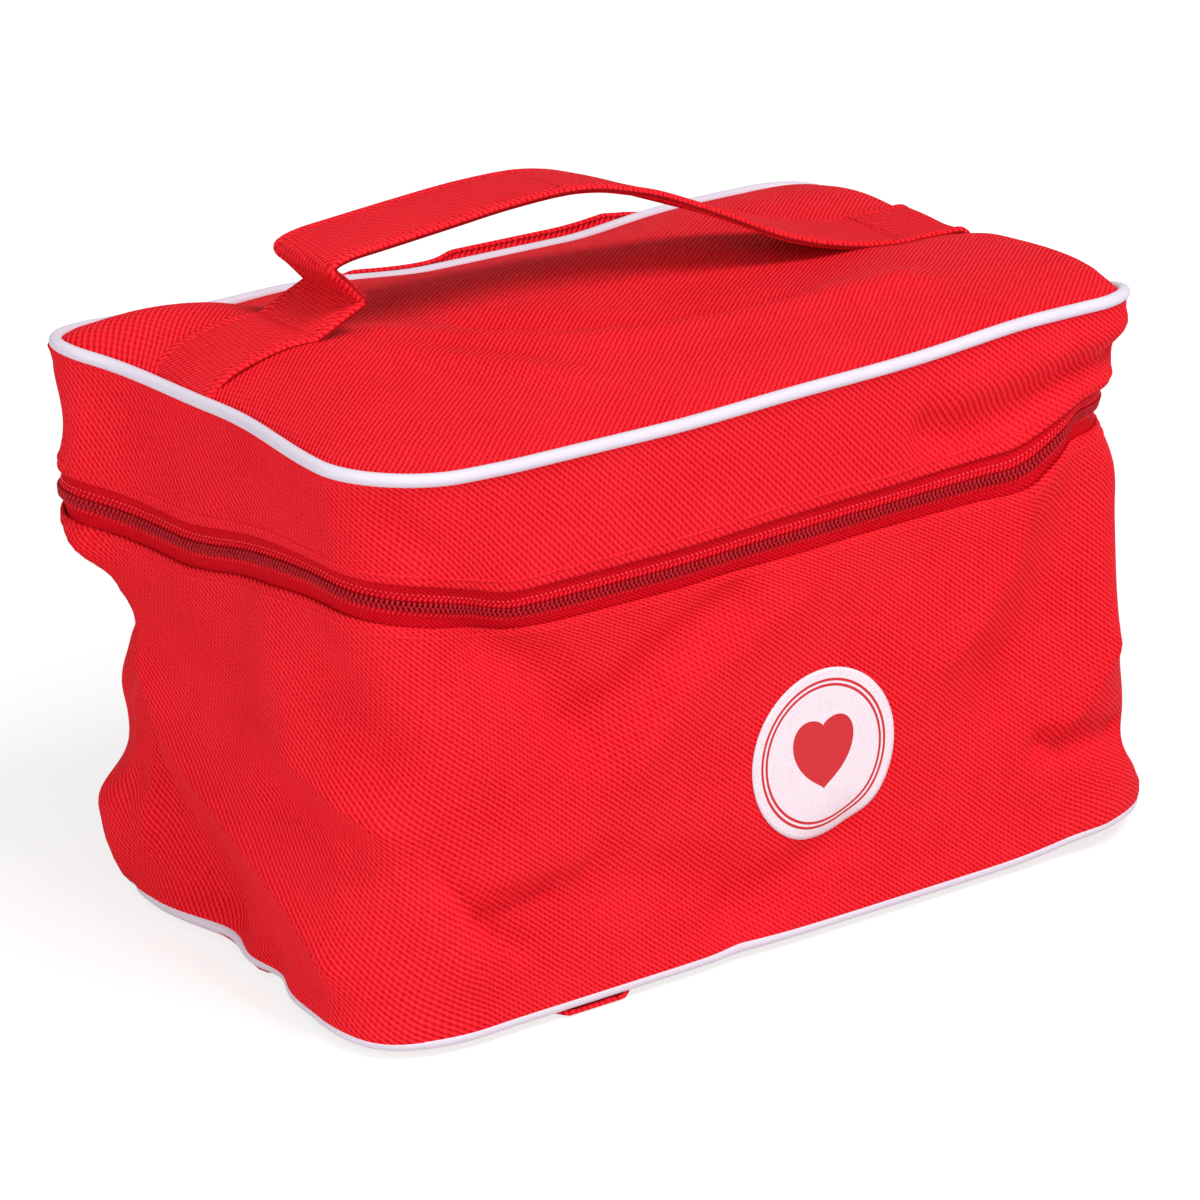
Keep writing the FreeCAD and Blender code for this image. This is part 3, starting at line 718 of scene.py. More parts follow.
def loft(name: str, stations: Stations, rows: list[tuple[Outline, float]], slump: Slump) -> Piece:
    """Make a band of cloth, without thickness, through rings at several heights.

    Args:
        name: Name of the piece.
        stations: Steps round the case.
        rows: Outline and height of each ring, from the bottom up.
        slump: How the cloth has sunk.

    Returns:
        The band.
    """
    points = np.concatenate([stations.ring(outline, height) for outline, height in rows])
    heights = np.cumsum([0.0] + [math.hypot(b[1] - a[1], (b[0].depth - a[0].depth) / 2)
                                 for a, b in zip(rows[:-1], rows[1:])])
    flat = np.array([(length, height) for height in heights for length in stations.lengths])
    faces = grid_faces(len(rows), len(stations.places), stations.closed)
    piece = mesh_object(name, slump.settle(points), faces)
    lay_cloth(piece, flat, stations.total if stations.closed else 0.0)
    return piece


def panel(name: str, outline: Outline, height: Callable[[float, float], float], slump: Slump,
          facing: int) -> Piece:
    """Make a rounded rectangular panel of cloth, without thickness.

    Args:
        name: Name of the piece.
        outline: Edge of the panel.
        height: Gives the height at x, y of the cut shape.
        slump: How the cloth has sunk.
        facing: 1 for a panel that faces up, -1 for down.

    Returns:
        The panel.
    """
    columns, lines = 112, 76
    points, flat = [], []
    for line in range(lines + 1):
        y = -math.cos(math.pi * line / lines) * outline.depth / 2
        for column in range(columns + 1):
            x = -math.cos(math.pi * column / columns) * outline.half_width(y)
            points.append((x, y, height(x, y)))
            flat.append((x + outline.length / 2, outline.depth / 2 - y))
    faces = [face[::facing] for face in grid_faces(lines + 1, columns + 1)]
    piece = mesh_object(name, slump.settle(np.array(points)), faces)
    lay_cloth(piece, np.array(flat))
    return piece


def tube(name: str, points: np.ndarray, radius: float) -> Piece:
    """Make a closed cord of a radius through points, in millimetres."""
    curve = bpy.data.curves.new(name, "CURVE")
    curve.dimensions = "3D"
    curve.bevel_depth = radius * MM
    curve.bevel_resolution = 4
    spline = curve.splines.new("POLY")
    spline.points.add(len(points) - 1)
    for knot, point in zip(spline.points, points * MM):
        knot.co = (*point, 1.0)
    spline.use_cyclic_u = True
    spline.use_smooth = True
    piece = bpy.data.objects.new(name, curve)
    bpy.context.scene.collection.objects.link(piece)
    pick(piece)
    bpy.ops.object.convert(target="MESH")
    return bpy.context.view_layer.objects.active


def repeat(name: str, model: Piece, spots: list[Spot], slump: Slump | None = None) -> Piece:
    """Copy one small model to many spots as a single piece, and remove the model.

    Args:
        name: Name of the piece.
        model: The shape to copy, about its own origin.
        spots: Origin and 3 x 3 axes in rows of each copy, in millimetres.
        slump: How the cloth under the copies has sunk, if it has.

    Returns:
        The piece.
    """
    shape = np.array([tuple(v.co) for v in model.data.vertices]) / MM
    polygons = [tuple(p.vertices) for p in model.data.polygons]
    points = np.concatenate([origin + shape @ axes for origin, axes in spots])
    faces = [tuple(i + copy * len(shape) for i in polygon) for copy in range(len(spots)) for polygon in polygons]
    bpy.data.objects.remove(model)
    return mesh_object(name, slump.settle(points) if slump else points, faces)


def stitch_model(length: float, thickness: float) -> Piece:
    """Model one lying stitch about the origin: a stretched ball along X."""
    start_piece()
    bpy.ops.mesh.primitive_uv_sphere_add(segments=6, ring_count=5, radius=0.5 * MM, rotation=(0, math.pi / 2, 0))
    bpy.ops.transform.resize(value=(length, thickness, thickness))
    bpy.ops.object.transform_apply(location=True, rotation=True, scale=True)
    return bpy.context.view_layer.objects.active


def ring_spots(outline: Outline, height: float, stations: Stations) -> list[Spot]:
    """List spots along a ring with X along it, Y up and Z outwards.

    Args:
        outline: Outline of the ring.
        height: Height of the ring.
        stations: Steps along it.

    Returns:
        Origin and axes of each spot.
    """
    points = stations.ring(outline, height)
    ahead = np.roll(points, -1, axis=0) - np.roll(points, 1, axis=0)
    if not stations.closed:
        ahead[0], ahead[-1] = points[1] - points[0], points[-1] - points[-2]
    up = np.array([0.0, 0.0, 1.0])
    along = ahead / np.linalg.norm(ahead, axis=1)[:, None]
    return [(point, np.array([way, up, np.cross(way, up)])) for point, way in zip(points, along)]


def finish_piece(piece: Piece, finish: Material, slot: Slot, body: Body | None, *nodes: str) -> None:
    """Dress a piece and tie it to the frame.

    Args:
        piece: The piece.
        finish: Its material.
        slot: The record's slot for it; not used.
        nodes: CAD nodes that it stands for.
    """
    piece.data.materials.clear()
    piece.data.materials.append(finish)
    if body:
        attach(piece, body.value)
    if nodes:
        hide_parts(*nodes)
    rides = body.value if body else "two bodies"
    log.info("%s: %d faces, rides on %s", piece.name, len(piece.data.polygons), rides)


# Sub-assemblies


@dataclass
class SewnCase:
    """Sizes and sewing that the body, lid and zip share."""

    finishes: Finishes
    top: Outline = Outline(230, 136, 22)
    base: Outline = Outline(236, 146, 26)
    cloth: float = 1.2
    bottom_seam: float = 3.6
    body_foot: float = 2.4
    body_edge: float = 103.0
    lid_edge: float = 113.0
    top_seam: float = 138.0
    piping: float = 1.6
    binding: float = 1.0
    binding_inset: float = 2.2
    hem: float = 2.4
    step: float = 1.6
    hinge_half: float = 75.0
    # How far a cloth's edge by the zip is turned in, at each distance from the edge.
    turned_edge: tuple[tuple[float, float], ...] = ((0.2, 0.2), (0.9, 0.0))

    def wall(self, height: float) -> Outline:
        """Give the wall's outline at a height."""
        share = min(max((height - self.bottom_seam) / (self.body_edge - self.bottom_seam), 0.0), 1.0)
        return self.base.towards(self.top, share)

    def stations(self) -> Stations:
        """Give even steps all round the case."""
        return Stations(self.top, self.step)

    def zip_stations(self, step: float, short: float = 0.0) -> Stations:
        """Give even steps along the zip, which leaves the middle of the back free."""
        return Stations(self.top, step, self.hinge_half + short)

    def lay_piping(self, name: str, node: str, outline: Outline, height: float, body: Body) -> None:
        """Lay the piping cord along a seam."""
        cord = tube(name, SLUMP.settle(self.stations().ring(outline, height)), self.piping)
        finish_piece(cord, self.finishes.piping, Slot.PIPING, body, node)

    def bind_seam(self, name: str, node: str, low: float, high: float, body: Body) -> None:
        """Sew a binding tape over a raw seam inside, between two heights."""
        rows = [(self.wall(z).inset(self.binding_inset), z) for z in np.linspace(low, high, 5)]
        tape = loft(name, self.stations(), rows, SLUMP)
        thicken(tape, self.binding)
        finish_piece(tape, self.finishes.binding, Slot.BINDING, body, node)

    def sew_hem(self, name: str, height: float, body: Body) -> None:
        """Sew a row of stitches along an edge that the zip is sewn to."""
        spots = ring_spots(self.top, height, self.stations())
        stitches = repeat(name, stitch_model(1.5, 0.75), spots, SLUMP)
        finish_piece(stitches, self.finishes.seam_thread, Slot.OXFORD, body)


@dataclass
class CaseBody(SewnCase):
    """The lower box: bottom panel, wall, piping, bindings and the badge."""

    # How far the foot bulges past the seam, at each height over it.
    foot_bulge: tuple[tuple[float, float], ...] = ((0.5, 0.0), (1.2, 0.7), (1.4, 1.8), (1.2, 3.2), (0.6, 5.5))
    # How far over the foot and under the edge the plain wall begins and ends, and its rows.
    plain_wall: tuple[float, float, int] = (8.0, 0.8, 56)
    bottom_inset: float = 1.4
    bottom_gap: float = 0.2
    bottom_rise: float = 2.8
    bottom_run: float = 5.0
    badge_middle: tuple[float, float] = (7.5, 46.2)
    badge_proud: float = 0.3
    badge_film: float = 0.2

    def build(self) -> None:
        """Build and dress the lower box."""
        self.make_wall()
        self.make_bottom()
        self.lay_piping("bottom_cord", "bottom_piping", self.base, self.bottom_seam, Body.CASE)
        self.bind_seam("bottom_seam_tape", "bottom_seam_binding", 5.5, 12.5, Body.CASE)
        self.bind_seam("body_zip_tape", "body_zip_binding", 95.9, 102.9, Body.CASE)
        self.make_badge()

    def make_wall(self) -> None:
        """Build the wall cloth, with its lower edge in the seam and its upper edge turned in."""
        edge, foot = self.body_edge, self.body_foot
        over, under, count = self.plain_wall
        rows = [(self.base.inset(-out), foot + rise) for out, rise in self.foot_bulge]
        rows += [(self.wall(z), z) for z in np.linspace(foot + over, edge - under, count)]
        rows += [(self.top.inset(inward), edge - short) for inward, short in self.turned_edge]
        wall = loft("body_cloth", self.stations(), rows, SLUMP)
        thicken(wall, self.cloth)
        finish_piece(wall, self.finishes.oxford, Slot.OXFORD, Body.CASE, "body_band")
        self.stations().total * MM
        self.sew_hem("body_zip_stitches", edge - self.hem, Body.CASE)

    def make_bottom(self) -> None:
        """Build the bottom panel, which lies on the floor inside its piped edge."""
        edge = self.base.inset(self.bottom_inset)

        def height(x: float, y: float) -> float:
            """Rise from the floor to the seam at the edge."""
            inward = min(edge.half_width(y) - abs(x), edge.depth / 2 - abs(y))
            return self.bottom_gap + self.bottom_rise * max(1.0 - inward / self.bottom_run, 0.0) ** 2

        bottom = panel("bottom_cloth", edge, height, BOTTOM_SLUMP, -1)
        thicken(bottom, self.cloth)
        finish_piece(bottom, self.finishes.oxford, Slot.OXFORD, Body.CASE, "bottom_panel")

    def make_badge(self) -> None:
        """Build the printed disc, which lies on the front wall and takes its folds."""
        middle_x, middle_z = self.badge_middle
        rings, spokes = 22, 88
        flat = [(0.0, 0.0)]
        for ring in range(1, rings + 1):
            for spoke in range(spokes):
                angle, reach = FULL_TURN * spoke / spokes, BADGE_RADIUS * ring / rings
                flat.append((reach * math.cos(angle), reach * math.sin(angle)))
        points = np.array([(middle_x + a, -self.wall(middle_z + b).depth / 2, middle_z + b) for a, b in flat])
        faces = [(0, 1 + s, 1 + (s + 1) % spokes) for s in range(spokes)]
        for face in grid_faces(rings, spokes, closed=True):
            inner, inner_after, outer_after, outer = (1 + i for i in face)
            faces.append((inner, outer, outer_after, inner_after))
        settled = SLUMP.settle(points) + np.array((0.0, -self.badge_proud, 0.0))
        badge = mesh_object("front_badge", settled, faces)
        lay_cloth(badge, np.array(flat))
        thicken(badge, self.badge_film)
        finish_piece(badge, self.finishes.badge, Slot.BADGE, Body.CASE, "badge")


@dataclass
class CaseLid(SewnCase):
    """The lid: top panel, low wall, piping and bindings."""

    # How far over the edge and under the seam the plain wall begins and ends, and its rows.
    plain_wall: tuple[float, float, int] = (0.8, 4.0, 12)
    # How far the wall swells out, at each distance under the seam.
    swell: tuple[tuple[float, float], ...] = ((0.4, 2.2), (0.9, 1.0), (0.2, 0.2))
    top_inset: float = 1.2
    crown: float = 6.0
    seam_rise: float = 0.6
    seam_run: float = 3.0
    side_run: float = 40.0
    left_run: float = 28.0
    right_run: float = 8.0

    def crown_height(self, x: float, y: float) -> float:
        """Give the top panel's cut height at a place."""
        edge = self.top.inset(self.top_inset)
        inward = (edge.half_width(y) - abs(x), edge.depth / 2 - abs(y))
        runs = (self.right_run if x > 0 else self.left_run, self.side_run)
        rise = 1.0
        for distance, run in zip(inward, runs):
            share = min(max(distance, 0.0) / run, 1.0)
            rise *= share * (2 - share)
        near = min(max(min(inward), 0.0) / self.seam_run, 1.0)
        return self.top_seam + self.crown * rise + self.seam_rise * near

    def surface(self, x: float, y: float) -> float:
        """Give the top panel's height where it has settled."""
        return float(SLUMP.settle(np.array([(x, y, self.crown_height(x, y))]))[0, 2])

    def build(self) -> None:
        """Build and dress the lid."""
        low, high, top = self.lid_edge, self.top_seam, self.top
        over, under, count = self.plain_wall
        rows = [(top.inset(inward), low + short) for inward, short in reversed(self.turned_edge)]
        rows += [(top, z) for z in np.linspace(low + over, high - under, count)]
        rows += [(top.inset(-out), high - short) for out, short in self.swell]
        band = loft("lid_cloth", self.stations(), rows, LID_WALL_SLUMP)
        thicken(band, self.cloth)
        finish_piece(band, self.finishes.oxford, Slot.OXFORD, Body.LID, "lid_band")
        self.stations().total * MM
        crown = panel("top_cloth", top.inset(self.top_inset), self.crown_height, TOP_SLUMP, 1)
        thicken(crown, self.cloth)
        finish_piece(crown, self.finishes.oxford, Slot.OXFORD, Body.LID, "top_panel")
        self.lay_piping("top_cord", "top_piping", top, high, Body.LID)
        self.bind_seam("top_seam_tape", "top_seam_binding", 129.1, 136.1, Body.LID)
        self.bind_seam("lid_zip_tape", "lid_zip_binding", 113.1, 120.1, Body.LID)
        self.sew_hem("lid_zip_stitches", low + self.hem, Body.LID)


@dataclass
class ZipFastener(SewnCase):
    """The zip: two tapes, two coils, their sewing threads and the hinge strip at the back."""

    middle: float = 108.0
    pitch: float = 1.25
    face_inset: float = 1.3
    tape: float = 0.8
    # Distances from the zip's middle: the tape's two edges, the teeth, the cords and the threads.
    tape_edges: tuple[float, float] = (0.3, 11.0)
    tooth_line: float = 0.55
    cord_line: float = 1.75
    thread_line: float = 2.75
    tooth: Point = (0.7, 1.3, 1.0)
    tooth_bevel: float = 0.22
    tooth_lean: float = 0.25
    tooth_proud: float = 0.5
    cord_proud: float = 0.1
    hinge_lap: float = 0.6
    hinge_inset: float = 0.5

    def build(self) -> None:
        """Build and dress the zip."""
        face = self.top.inset(self.face_inset)
        for side, body, part in ((-1, Body.CASE, "lower"), (1, Body.LID, "upper")):
            ends = sorted(self.middle + side * edge for edge in self.tape_edges)
            rows = [(face, z) for z in np.linspace(*ends, 7)]
            tape = loft(f"zip_{part}_ribbon", self.zip_stations(self.step), rows, SLUMP)
            thicken(tape, self.tape)
            finish_piece(tape, self.finishes.tape, Slot.TAPE, body, f"zip_{part}_tape")
            teeth = repeat(f"zip_{part}_teeth", self.tooth_model(side), self.tooth_spots(face, side), SLUMP)
            finish_piece(teeth, self.finishes.coil, Slot.COIL, body, f"zip_{part}_coil")
            cords = repeat(f"zip_{part}_cords", stitch_model(1.5, 0.6), self.cord_spots(face, side), SLUMP)
            finish_piece(cords, self.finishes.seam_thread, Slot.TAPE, body)
        dots = ring_spots(face, self.middle + self.thread_line, self.zip_stations(self.pitch, 1.0))
        threads = repeat("zip_upper_threads", stitch_model(0.55, 0.5), dots, SLUMP)
        finish_piece(threads, self.finishes.zip_thread, Slot.TAPE, Body.LID)
        self.make_hinge()

    def tooth_model(self, side: int) -> Piece:
        """Model one turn of the upper (1) or lower (-1) coil: a rounded bar that leans along the zip."""
        tooth = add_cube((0.0, 0.0, 0.0), self.tooth)
        round_edges(self.tooth_bevel, 1)
        for vertex in tooth.data.vertices:
            vertex.co.x += self.tooth_lean * side * vertex.co.y
        return tooth

    def tooth_spots(self, face: Outline, side: int) -> list[Spot]:
        """List the places of one coil's turns, the two coils half a turn apart."""
        spots = ring_spots(face, self.middle + side * self.tooth_line, self.zip_stations(self.pitch, 3.0))
        shift = self.pitch / 2 if side > 0 else 0.0
        return [(origin + axes[0] * shift + axes[2] * self.tooth_proud, axes) for origin, axes in spots]

    def cord_spots(self, face: Outline, side: int) -> list[Spot]:
        """List the slanting stitches that hold one coil to its tape."""
        spots = ring_spots(face, self.middle + side * self.cord_line, self.zip_stations(self.pitch, 2.0))
        slant = np.array([[0.5, 0.87, 0.0], [-0.87, 0.5, 0.0], [0.0, 0.0, 1.0]])
        return [(origin + axes[2] * self.cord_proud, slant @ axes) for origin, axes in spots]

    def make_hinge(self) -> None:
        """Build the uncut cloth across the back, which on the real case bends as the lid opens; here it is built
        closed and tied to neither body.
        """
        low, high, half = self.body_edge - self.hinge_lap, self.lid_edge + self.hinge_lap, self.hinge_half
        columns, lines = 76, 12
        points, flat = [], []
        for line in range(lines + 1):
            for column in range(columns + 1):
                x, z = half - 2 * half * column / columns, low + (high - low) * line / lines
                points.append((x, self.top.depth / 2 - self.hinge_inset, z))
                flat.append((half - x, z - low))
        faces = grid_faces(lines + 1, columns + 1)
        strip = mesh_object("hinge_cloth", SLUMP.settle(np.array(points)), faces)
        lay_cloth(strip, np.array(flat))
        thicken(strip, self.cloth)
        finish_piece(strip, self.finishes.oxford, Slot.OXFORD, None, "hinge_strip")
        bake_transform(strip)


@dataclass
class HandleStrap:
    """The webbing handle: sewn down at both ends, slack between them."""

    finishes: Finishes
    lid: CaseLid
    width: float = 25.0
    thickness: float = 2.0
    sunk: float = 0.7
    back: float = 14.0
    split: float = -15.0
    split_height: float = 168.0
    stitch: float = 2.1
    tuck: float = 1.6
    crossings: tuple[float, float] = (-85.4, 88.0)
    left_sewn: tuple[float, ...] = (-113.2, -107.0, -100.0, -93.0, -88.0, -85.6)
    right_sewn: tuple[float, ...] = (113.2, 107.0, 101.0, 94.0, 87.0)
    # x, height, and how far the front edge stands above the rear one.
    slack: tuple[Point, ...] = (
        (-84.4, 148.6, 0), (-79.0, 151.8, 0), (-73.8, 154.2, 0), (-72.4, 155.3, 0), (-73.6, 156.8, 0),
        (-77.6, 161.0, 0), (-80.4, 163.6, 0), (-80.0, 165.4, 0), (-75.0, 166.8, 0), (-65, 167.8, 0),
        (-48, 169.3, 0.2), (-31, 170.5, 0.7), (-15, 170.6, 1.3), (-4.5, 169.2, 1.8), (4.3, 166.7, 2.2),
        (13.4, 163.6, 2.6), (25.5, 159.0, 2.2), (38, 154.3, 1.2), (50.5, 149.8, -0.2), (61, 146.4, -0.5),
        (69.5, 144.2, -0.4), (78.0, 142.1, 0.2))

    def build(self) -> None:
        """Build and dress the strap in two halves."""
        rest = self.thickness / 2 - self.sunk
        left, right = ([(x, self.lid.surface(x, self.middle(x)) + rest - (0 if step else self.tuck), 0.0, 1.0)
                        for step, x in enumerate(ends)] for ends in (self.left_sewn, self.right_sewn))
        route = self.smooth(np.array(left + [(*knot, 0.0) for knot in self.slack] + right[::-1]))
        steps = np.linalg.norm(np.diff(route[:, :2], axis=0), axis=1)
        lengths = np.concatenate([[0.0], np.cumsum(steps)])
        aside = np.where(route[:, 1] > self.split_height, np.abs(route[:, 0] - self.split), np.inf)
        cut = int(np.argmin(aside))
        halves = (("handle_left", slice(0, cut + 1), ("handle_left_end", "handle_strap"), -0.086, -0.045),
                  ("handle_right", slice(cut, None), ("handle_right_end",), 0.07, 0.02))
        for crossing, (name, part, nodes, start, end) in zip(self.crossings, halves):
            rows = self.rows(route[part])
            strap = self.sweep(name, rows, lengths[part])
            finish_piece(strap, self.finishes.strap, Slot.WEBBING, None, *nodes)
            self.sew(strap, rows, lengths[part], crossing)
            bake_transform(strap)

    def middle(self, x: float) -> float:
        """Give the strap's middle line, which is sewn further back at the left and forward at the right."""
        return self.back + float(np.interp(x, (-113, -80, 60, 113), (6, 0, 0, -5.5)))

    def smooth(self, knots: np.ndarray) -> np.ndarray:
        """Run a smooth line through the knots of the route.

        Args:
            knots: x, height, lean and sewn share in rows.

        Returns:
            Close points of the line.
        """
        padded = np.vstack([2 * knots[0] - knots[1], knots, 2 * knots[-1] - knots[-2]])
        points = []
        for before, start, end, after in zip(padded[:-3], padded[1:-2], padded[2:-1], padded[3:]):
            steps = max(int(np.linalg.norm((end - start)[:2]) / 1.2), 3)
            for step in range(steps):
                t = step / steps
                points.append(0.5 * (2 * start + (end - before) * t
                                     + (2 * before - 5 * start + 4 * end - after) * t ** 2
                                     + (3 * start - before - 3 * end + after) * t ** 3))
        return np.array(points + [knots[-1]])

    def section(self) -> list[tuple[float, float]]:
        """Draw the strap's cross-section: two layers with full, turned-in edges and a sewn groove by each.

        Returns:
            Across and out of the strap, in order.
        """
        half, thick = self.width / 2, self.thickness / 2
        edge = [(0.0, 0.0), (0.2, 0.8), (0.9, 1.2), (1.6, 1.05), (2.2, 0.7), (2.9, 0.95)]
        top = [(-half + across, thick * out) for across, out in edge]
        top += [(x, thick) for x in np.linspace(-half + 4, half - 4, 9)]
        top += [(half - across, thick * out) for across, out in reversed(edge)]
        return top + [(x, -z) for x, z in reversed(top[1:-1])]

    def rows(self, route: np.ndarray) -> np.ndarray:
        """Lay the cross-section at each point of the route, down on the lid where it is sewn.

        Args:
            route: x, height, lean and sewn share in rows.

        Returns:
            Points by step and place in the cross-section.
        """
        ahead = np.gradient(route[:, :2], axis=0)
        ahead /= np.linalg.norm(ahead, axis=1)[:, None]
        rows = []
        for (x, z, lean, sewn), (run_x, run_z) in zip(route, ahead):
            line = self.middle(x)
            level = self.lid.surface(x, line) if sewn > 0 else 0.0
            row = []
            for across, out in self.section():
                y = line + across
                lift_up = lean * (0.5 - across / self.width)
                if sewn > 0:
                    lift_up += min(sewn, 1.0) * (self.lid.surface(x, y) - level)
                row.append((x - run_z * out, y, z + run_x * out + lift_up))
            rows.append(row)
        return np.array(rows)

    def sweep(self, name: str, rows: np.ndarray, lengths: np.ndarray) -> Piece:
        """Join the rows into one closed strap.

        Args:
            name: Name of the piece.
            rows: Points by step and place in the cross-section.
            lengths: Length of strap at each step.

        Returns:
            The strap.
        """
        steps, around = rows.shape[:2]
        flat = [(length, across + (self.width if out < 0 else 0.0))
                for length in lengths for across, out in self.section()]
        faces = [tuple(range(around)), tuple(range((steps - 1) * around, steps * around))[::-1]]
        faces += [face[:1] + face[:0:-1] for face in grid_faces(steps, around, closed=True)]
        strap = mesh_object(name, rows.reshape(-1, 3), faces)
        lay_cloth(strap, np.array(flat))
        return strap

    def sew(self, strap: Piece, rows: np.ndarray, lengths: np.ndarray, crossing: float) -> None:
        """Sew a row of stitches into each groove, and one row across where the strap leaves the lid.

        Args:
            strap: The strap, which the stitches join.
            rows: Points by step and place in the cross-section.
            lengths: Length of strap at each step.
            crossing: x of the row across.
        """
        section = self.section()
        around = len(section)
        top = (around + 2) // 2
        grooves = (4, top - 5, around - 4, top + 3)
        proud = 0.05
        spots = []
        for place in np.arange(lengths[0] + 1, lengths[-1] - 1, self.stitch):
            step = int(np.clip(np.searchsorted(lengths, place) - 1, 0, len(lengths) - 2))
            share = (place - lengths[step]) / (lengths[step + 1] - lengths[step])
            row = rows[step] * (1 - share) + rows[step + 1] * share
            along = rows[step + 1, 0] - rows[step, 0]
            along /= np.linalg.norm(along)
            wide = row[top - 1] - row[0]
            wide /= np.linalg.norm(wide)
            for groove in grooves:
                out = np.cross(along, wide) * (1 if section[groove][1] > 0 else -1)
                spots.append((row[groove] + out * proud, np.array([along, wide, out])))
        cross = rows[int(np.argmin(np.abs(rows[:, 0, 0] - crossing)))]
        wide = (cross[top - 1] - cross[0]) / self.width
        along = np.array([1.0, 0.0, 0.0])
        out = np.cross(along, wide)
        for share in np.arange(0.12, 0.9, self.stitch / self.width):
            point = cross[0] * (1 - share) + cross[top - 1] * share
            spots.append((point + out * (self.thickness / 2 + proud), np.array([wide, -along, out])))
        stitches = repeat("strap_stitches", stitch_model(1.5, 0.5), spots)
        stitches.data.materials.append(self.finishes.seam_thread)
        join(strap, stitches)


@dataclass
class ZipSlider:
    """The slider and its pull, parked at the rear of the right side, and the stops at the zip's ends."""

    finishes: Finishes
    middle: Point = (115.6, 38.0, 108.0)
    # Place from the middle, sizes, rounding and taper of the outer plate, inner plate, neck and bridge.
    blocks: tuple[tuple[Point, Point, float, float], ...] = (
        ((1.6, 0.0, 0.0), (2.0, 10.0, 8.2), 0.7, 0.72), ((-3.0, 0.0, 0.0), (1.6, 10.0, 8.2), 0.6, 0.72),
        ((-0.7, 3.2, 0.0), (5.0, 2.4, 2.2), 0.4, 1.0), ((3.1, 0.0, 0.0), (1.5, 7.0, 2.0), 0.45, 1.0))
    pull: Point = (1.2, 25.5, 7.0)
    pull_x: float = 118.0
    pull_corner: float = 2.4
    pull_rim: float = 0.9
    pull_sunk: float = 0.3
    pull_edge: float = 0.12
    slot: Point = (4.0, 2.6, 2.8)
    slot_bevel: float = 0.5
    soft_angle: float = math.radians(40)

    def build(self) -> None:
        """Build and dress the slider and its pull, and enamel the stops."""
        blocks = [self.block(tuple(m + o for m, o in zip(self.middle, offset)), *sizes)
                  for offset, *sizes in self.blocks]
        join(*blocks)
        slider = blocks[0]
        slider.name = slider.data.name = "slider_block"
        finish_piece(slider, self.finishes.enamel, Slot.METAL, Body.SLIDER, "zip_slider")
        finish_piece(self.make_pull(), self.finishes.enamel, Slot.METAL, Body.PULL, "pull_tab")
        for node in ("zip_lower_stops", "zip_upper_stops"):
            stop = bpy.data.objects[node]
            stop.data.materials.clear()
            stop.data.materials.append(self.finishes.enamel)
            log.info("%s: frame node in enamel", node)

    def block(self, middle: Point, size: Point, bevel: float, taper: float = 1.0) -> Piece:
        """Cast one rounded block, narrower at its rear end.

        Args:
            middle: Middle of the block.
            size: Its sizes along x, y and z.
            bevel: Rounding of its edges.
            taper: Height of the rear end as a share of the front end's.

        Returns:
            The block, with its place in the mesh.
        """
        block = add_cube(middle, size)
        for vertex in block.data.vertices:
            if vertex.co.y > middle[1] * MM:
                vertex.co.z = middle[2] * MM + (vertex.co.z - middle[2] * MM) * taper
        round_edges(bevel, 3)
        bpy.ops.object.shade_smooth_by_angle(angle=self.soft_angle)
        return block

    def make_pull(self) -> Piece:
        """Stamp the pull: a thin plate with a sunk face and a slot for the slider's bridge."""
        x, y, z = self.pull_x, self.middle[1] - 0.5 + self.pull[1] / 2, self.middle[2]
        pull = add_cube((x, y, z), self.pull)
        pull.name = pull.data.name = "pull_plate"
        for edge in pull.data.edges:
            ends = [pull.data.vertices[i].co for i in edge.vertices]
            edge.select = abs(ends[0].x - ends[1].x) > 0.5 * MM
        bpy.context.tool_settings.mesh_select_mode = (False, True, False)
        bpy.ops.object.mode_set(mode="EDIT")
        bpy.ops.mesh.bevel(offset=self.pull_corner * MM, segments=6, affect="EDGES")
        bpy.ops.object.mode_set(mode="OBJECT")
        for face in pull.data.polygons:
            face.select = face.normal.x > 0.9
        bpy.context.tool_settings.mesh_select_mode = (False, False, True)
        bpy.ops.object.mode_set(mode="EDIT")
        bpy.ops.mesh.inset(thickness=self.pull_rim * MM)
        bpy.ops.mesh.extrude_region_move(TRANSFORM_OT_translate={"value": (-self.pull_sunk * MM, 0.0, 0.0)})
        bpy.ops.object.mode_set(mode="OBJECT")
        slot = self.block((x, self.middle[1] + 1.9, z), self.slot, self.slot_bevel)
        apply_modifier(pull, "BOOLEAN", operation="DIFFERENCE", solver="EXACT", object=slot)
        bpy.data.objects.remove(slot)
        apply_modifier(pull, "BEVEL", width=self.pull_edge * MM, segments=2, limit_method="ANGLE")
        bpy.ops.object.shade_smooth_by_angle(angle=self.soft_angle)
        return pull


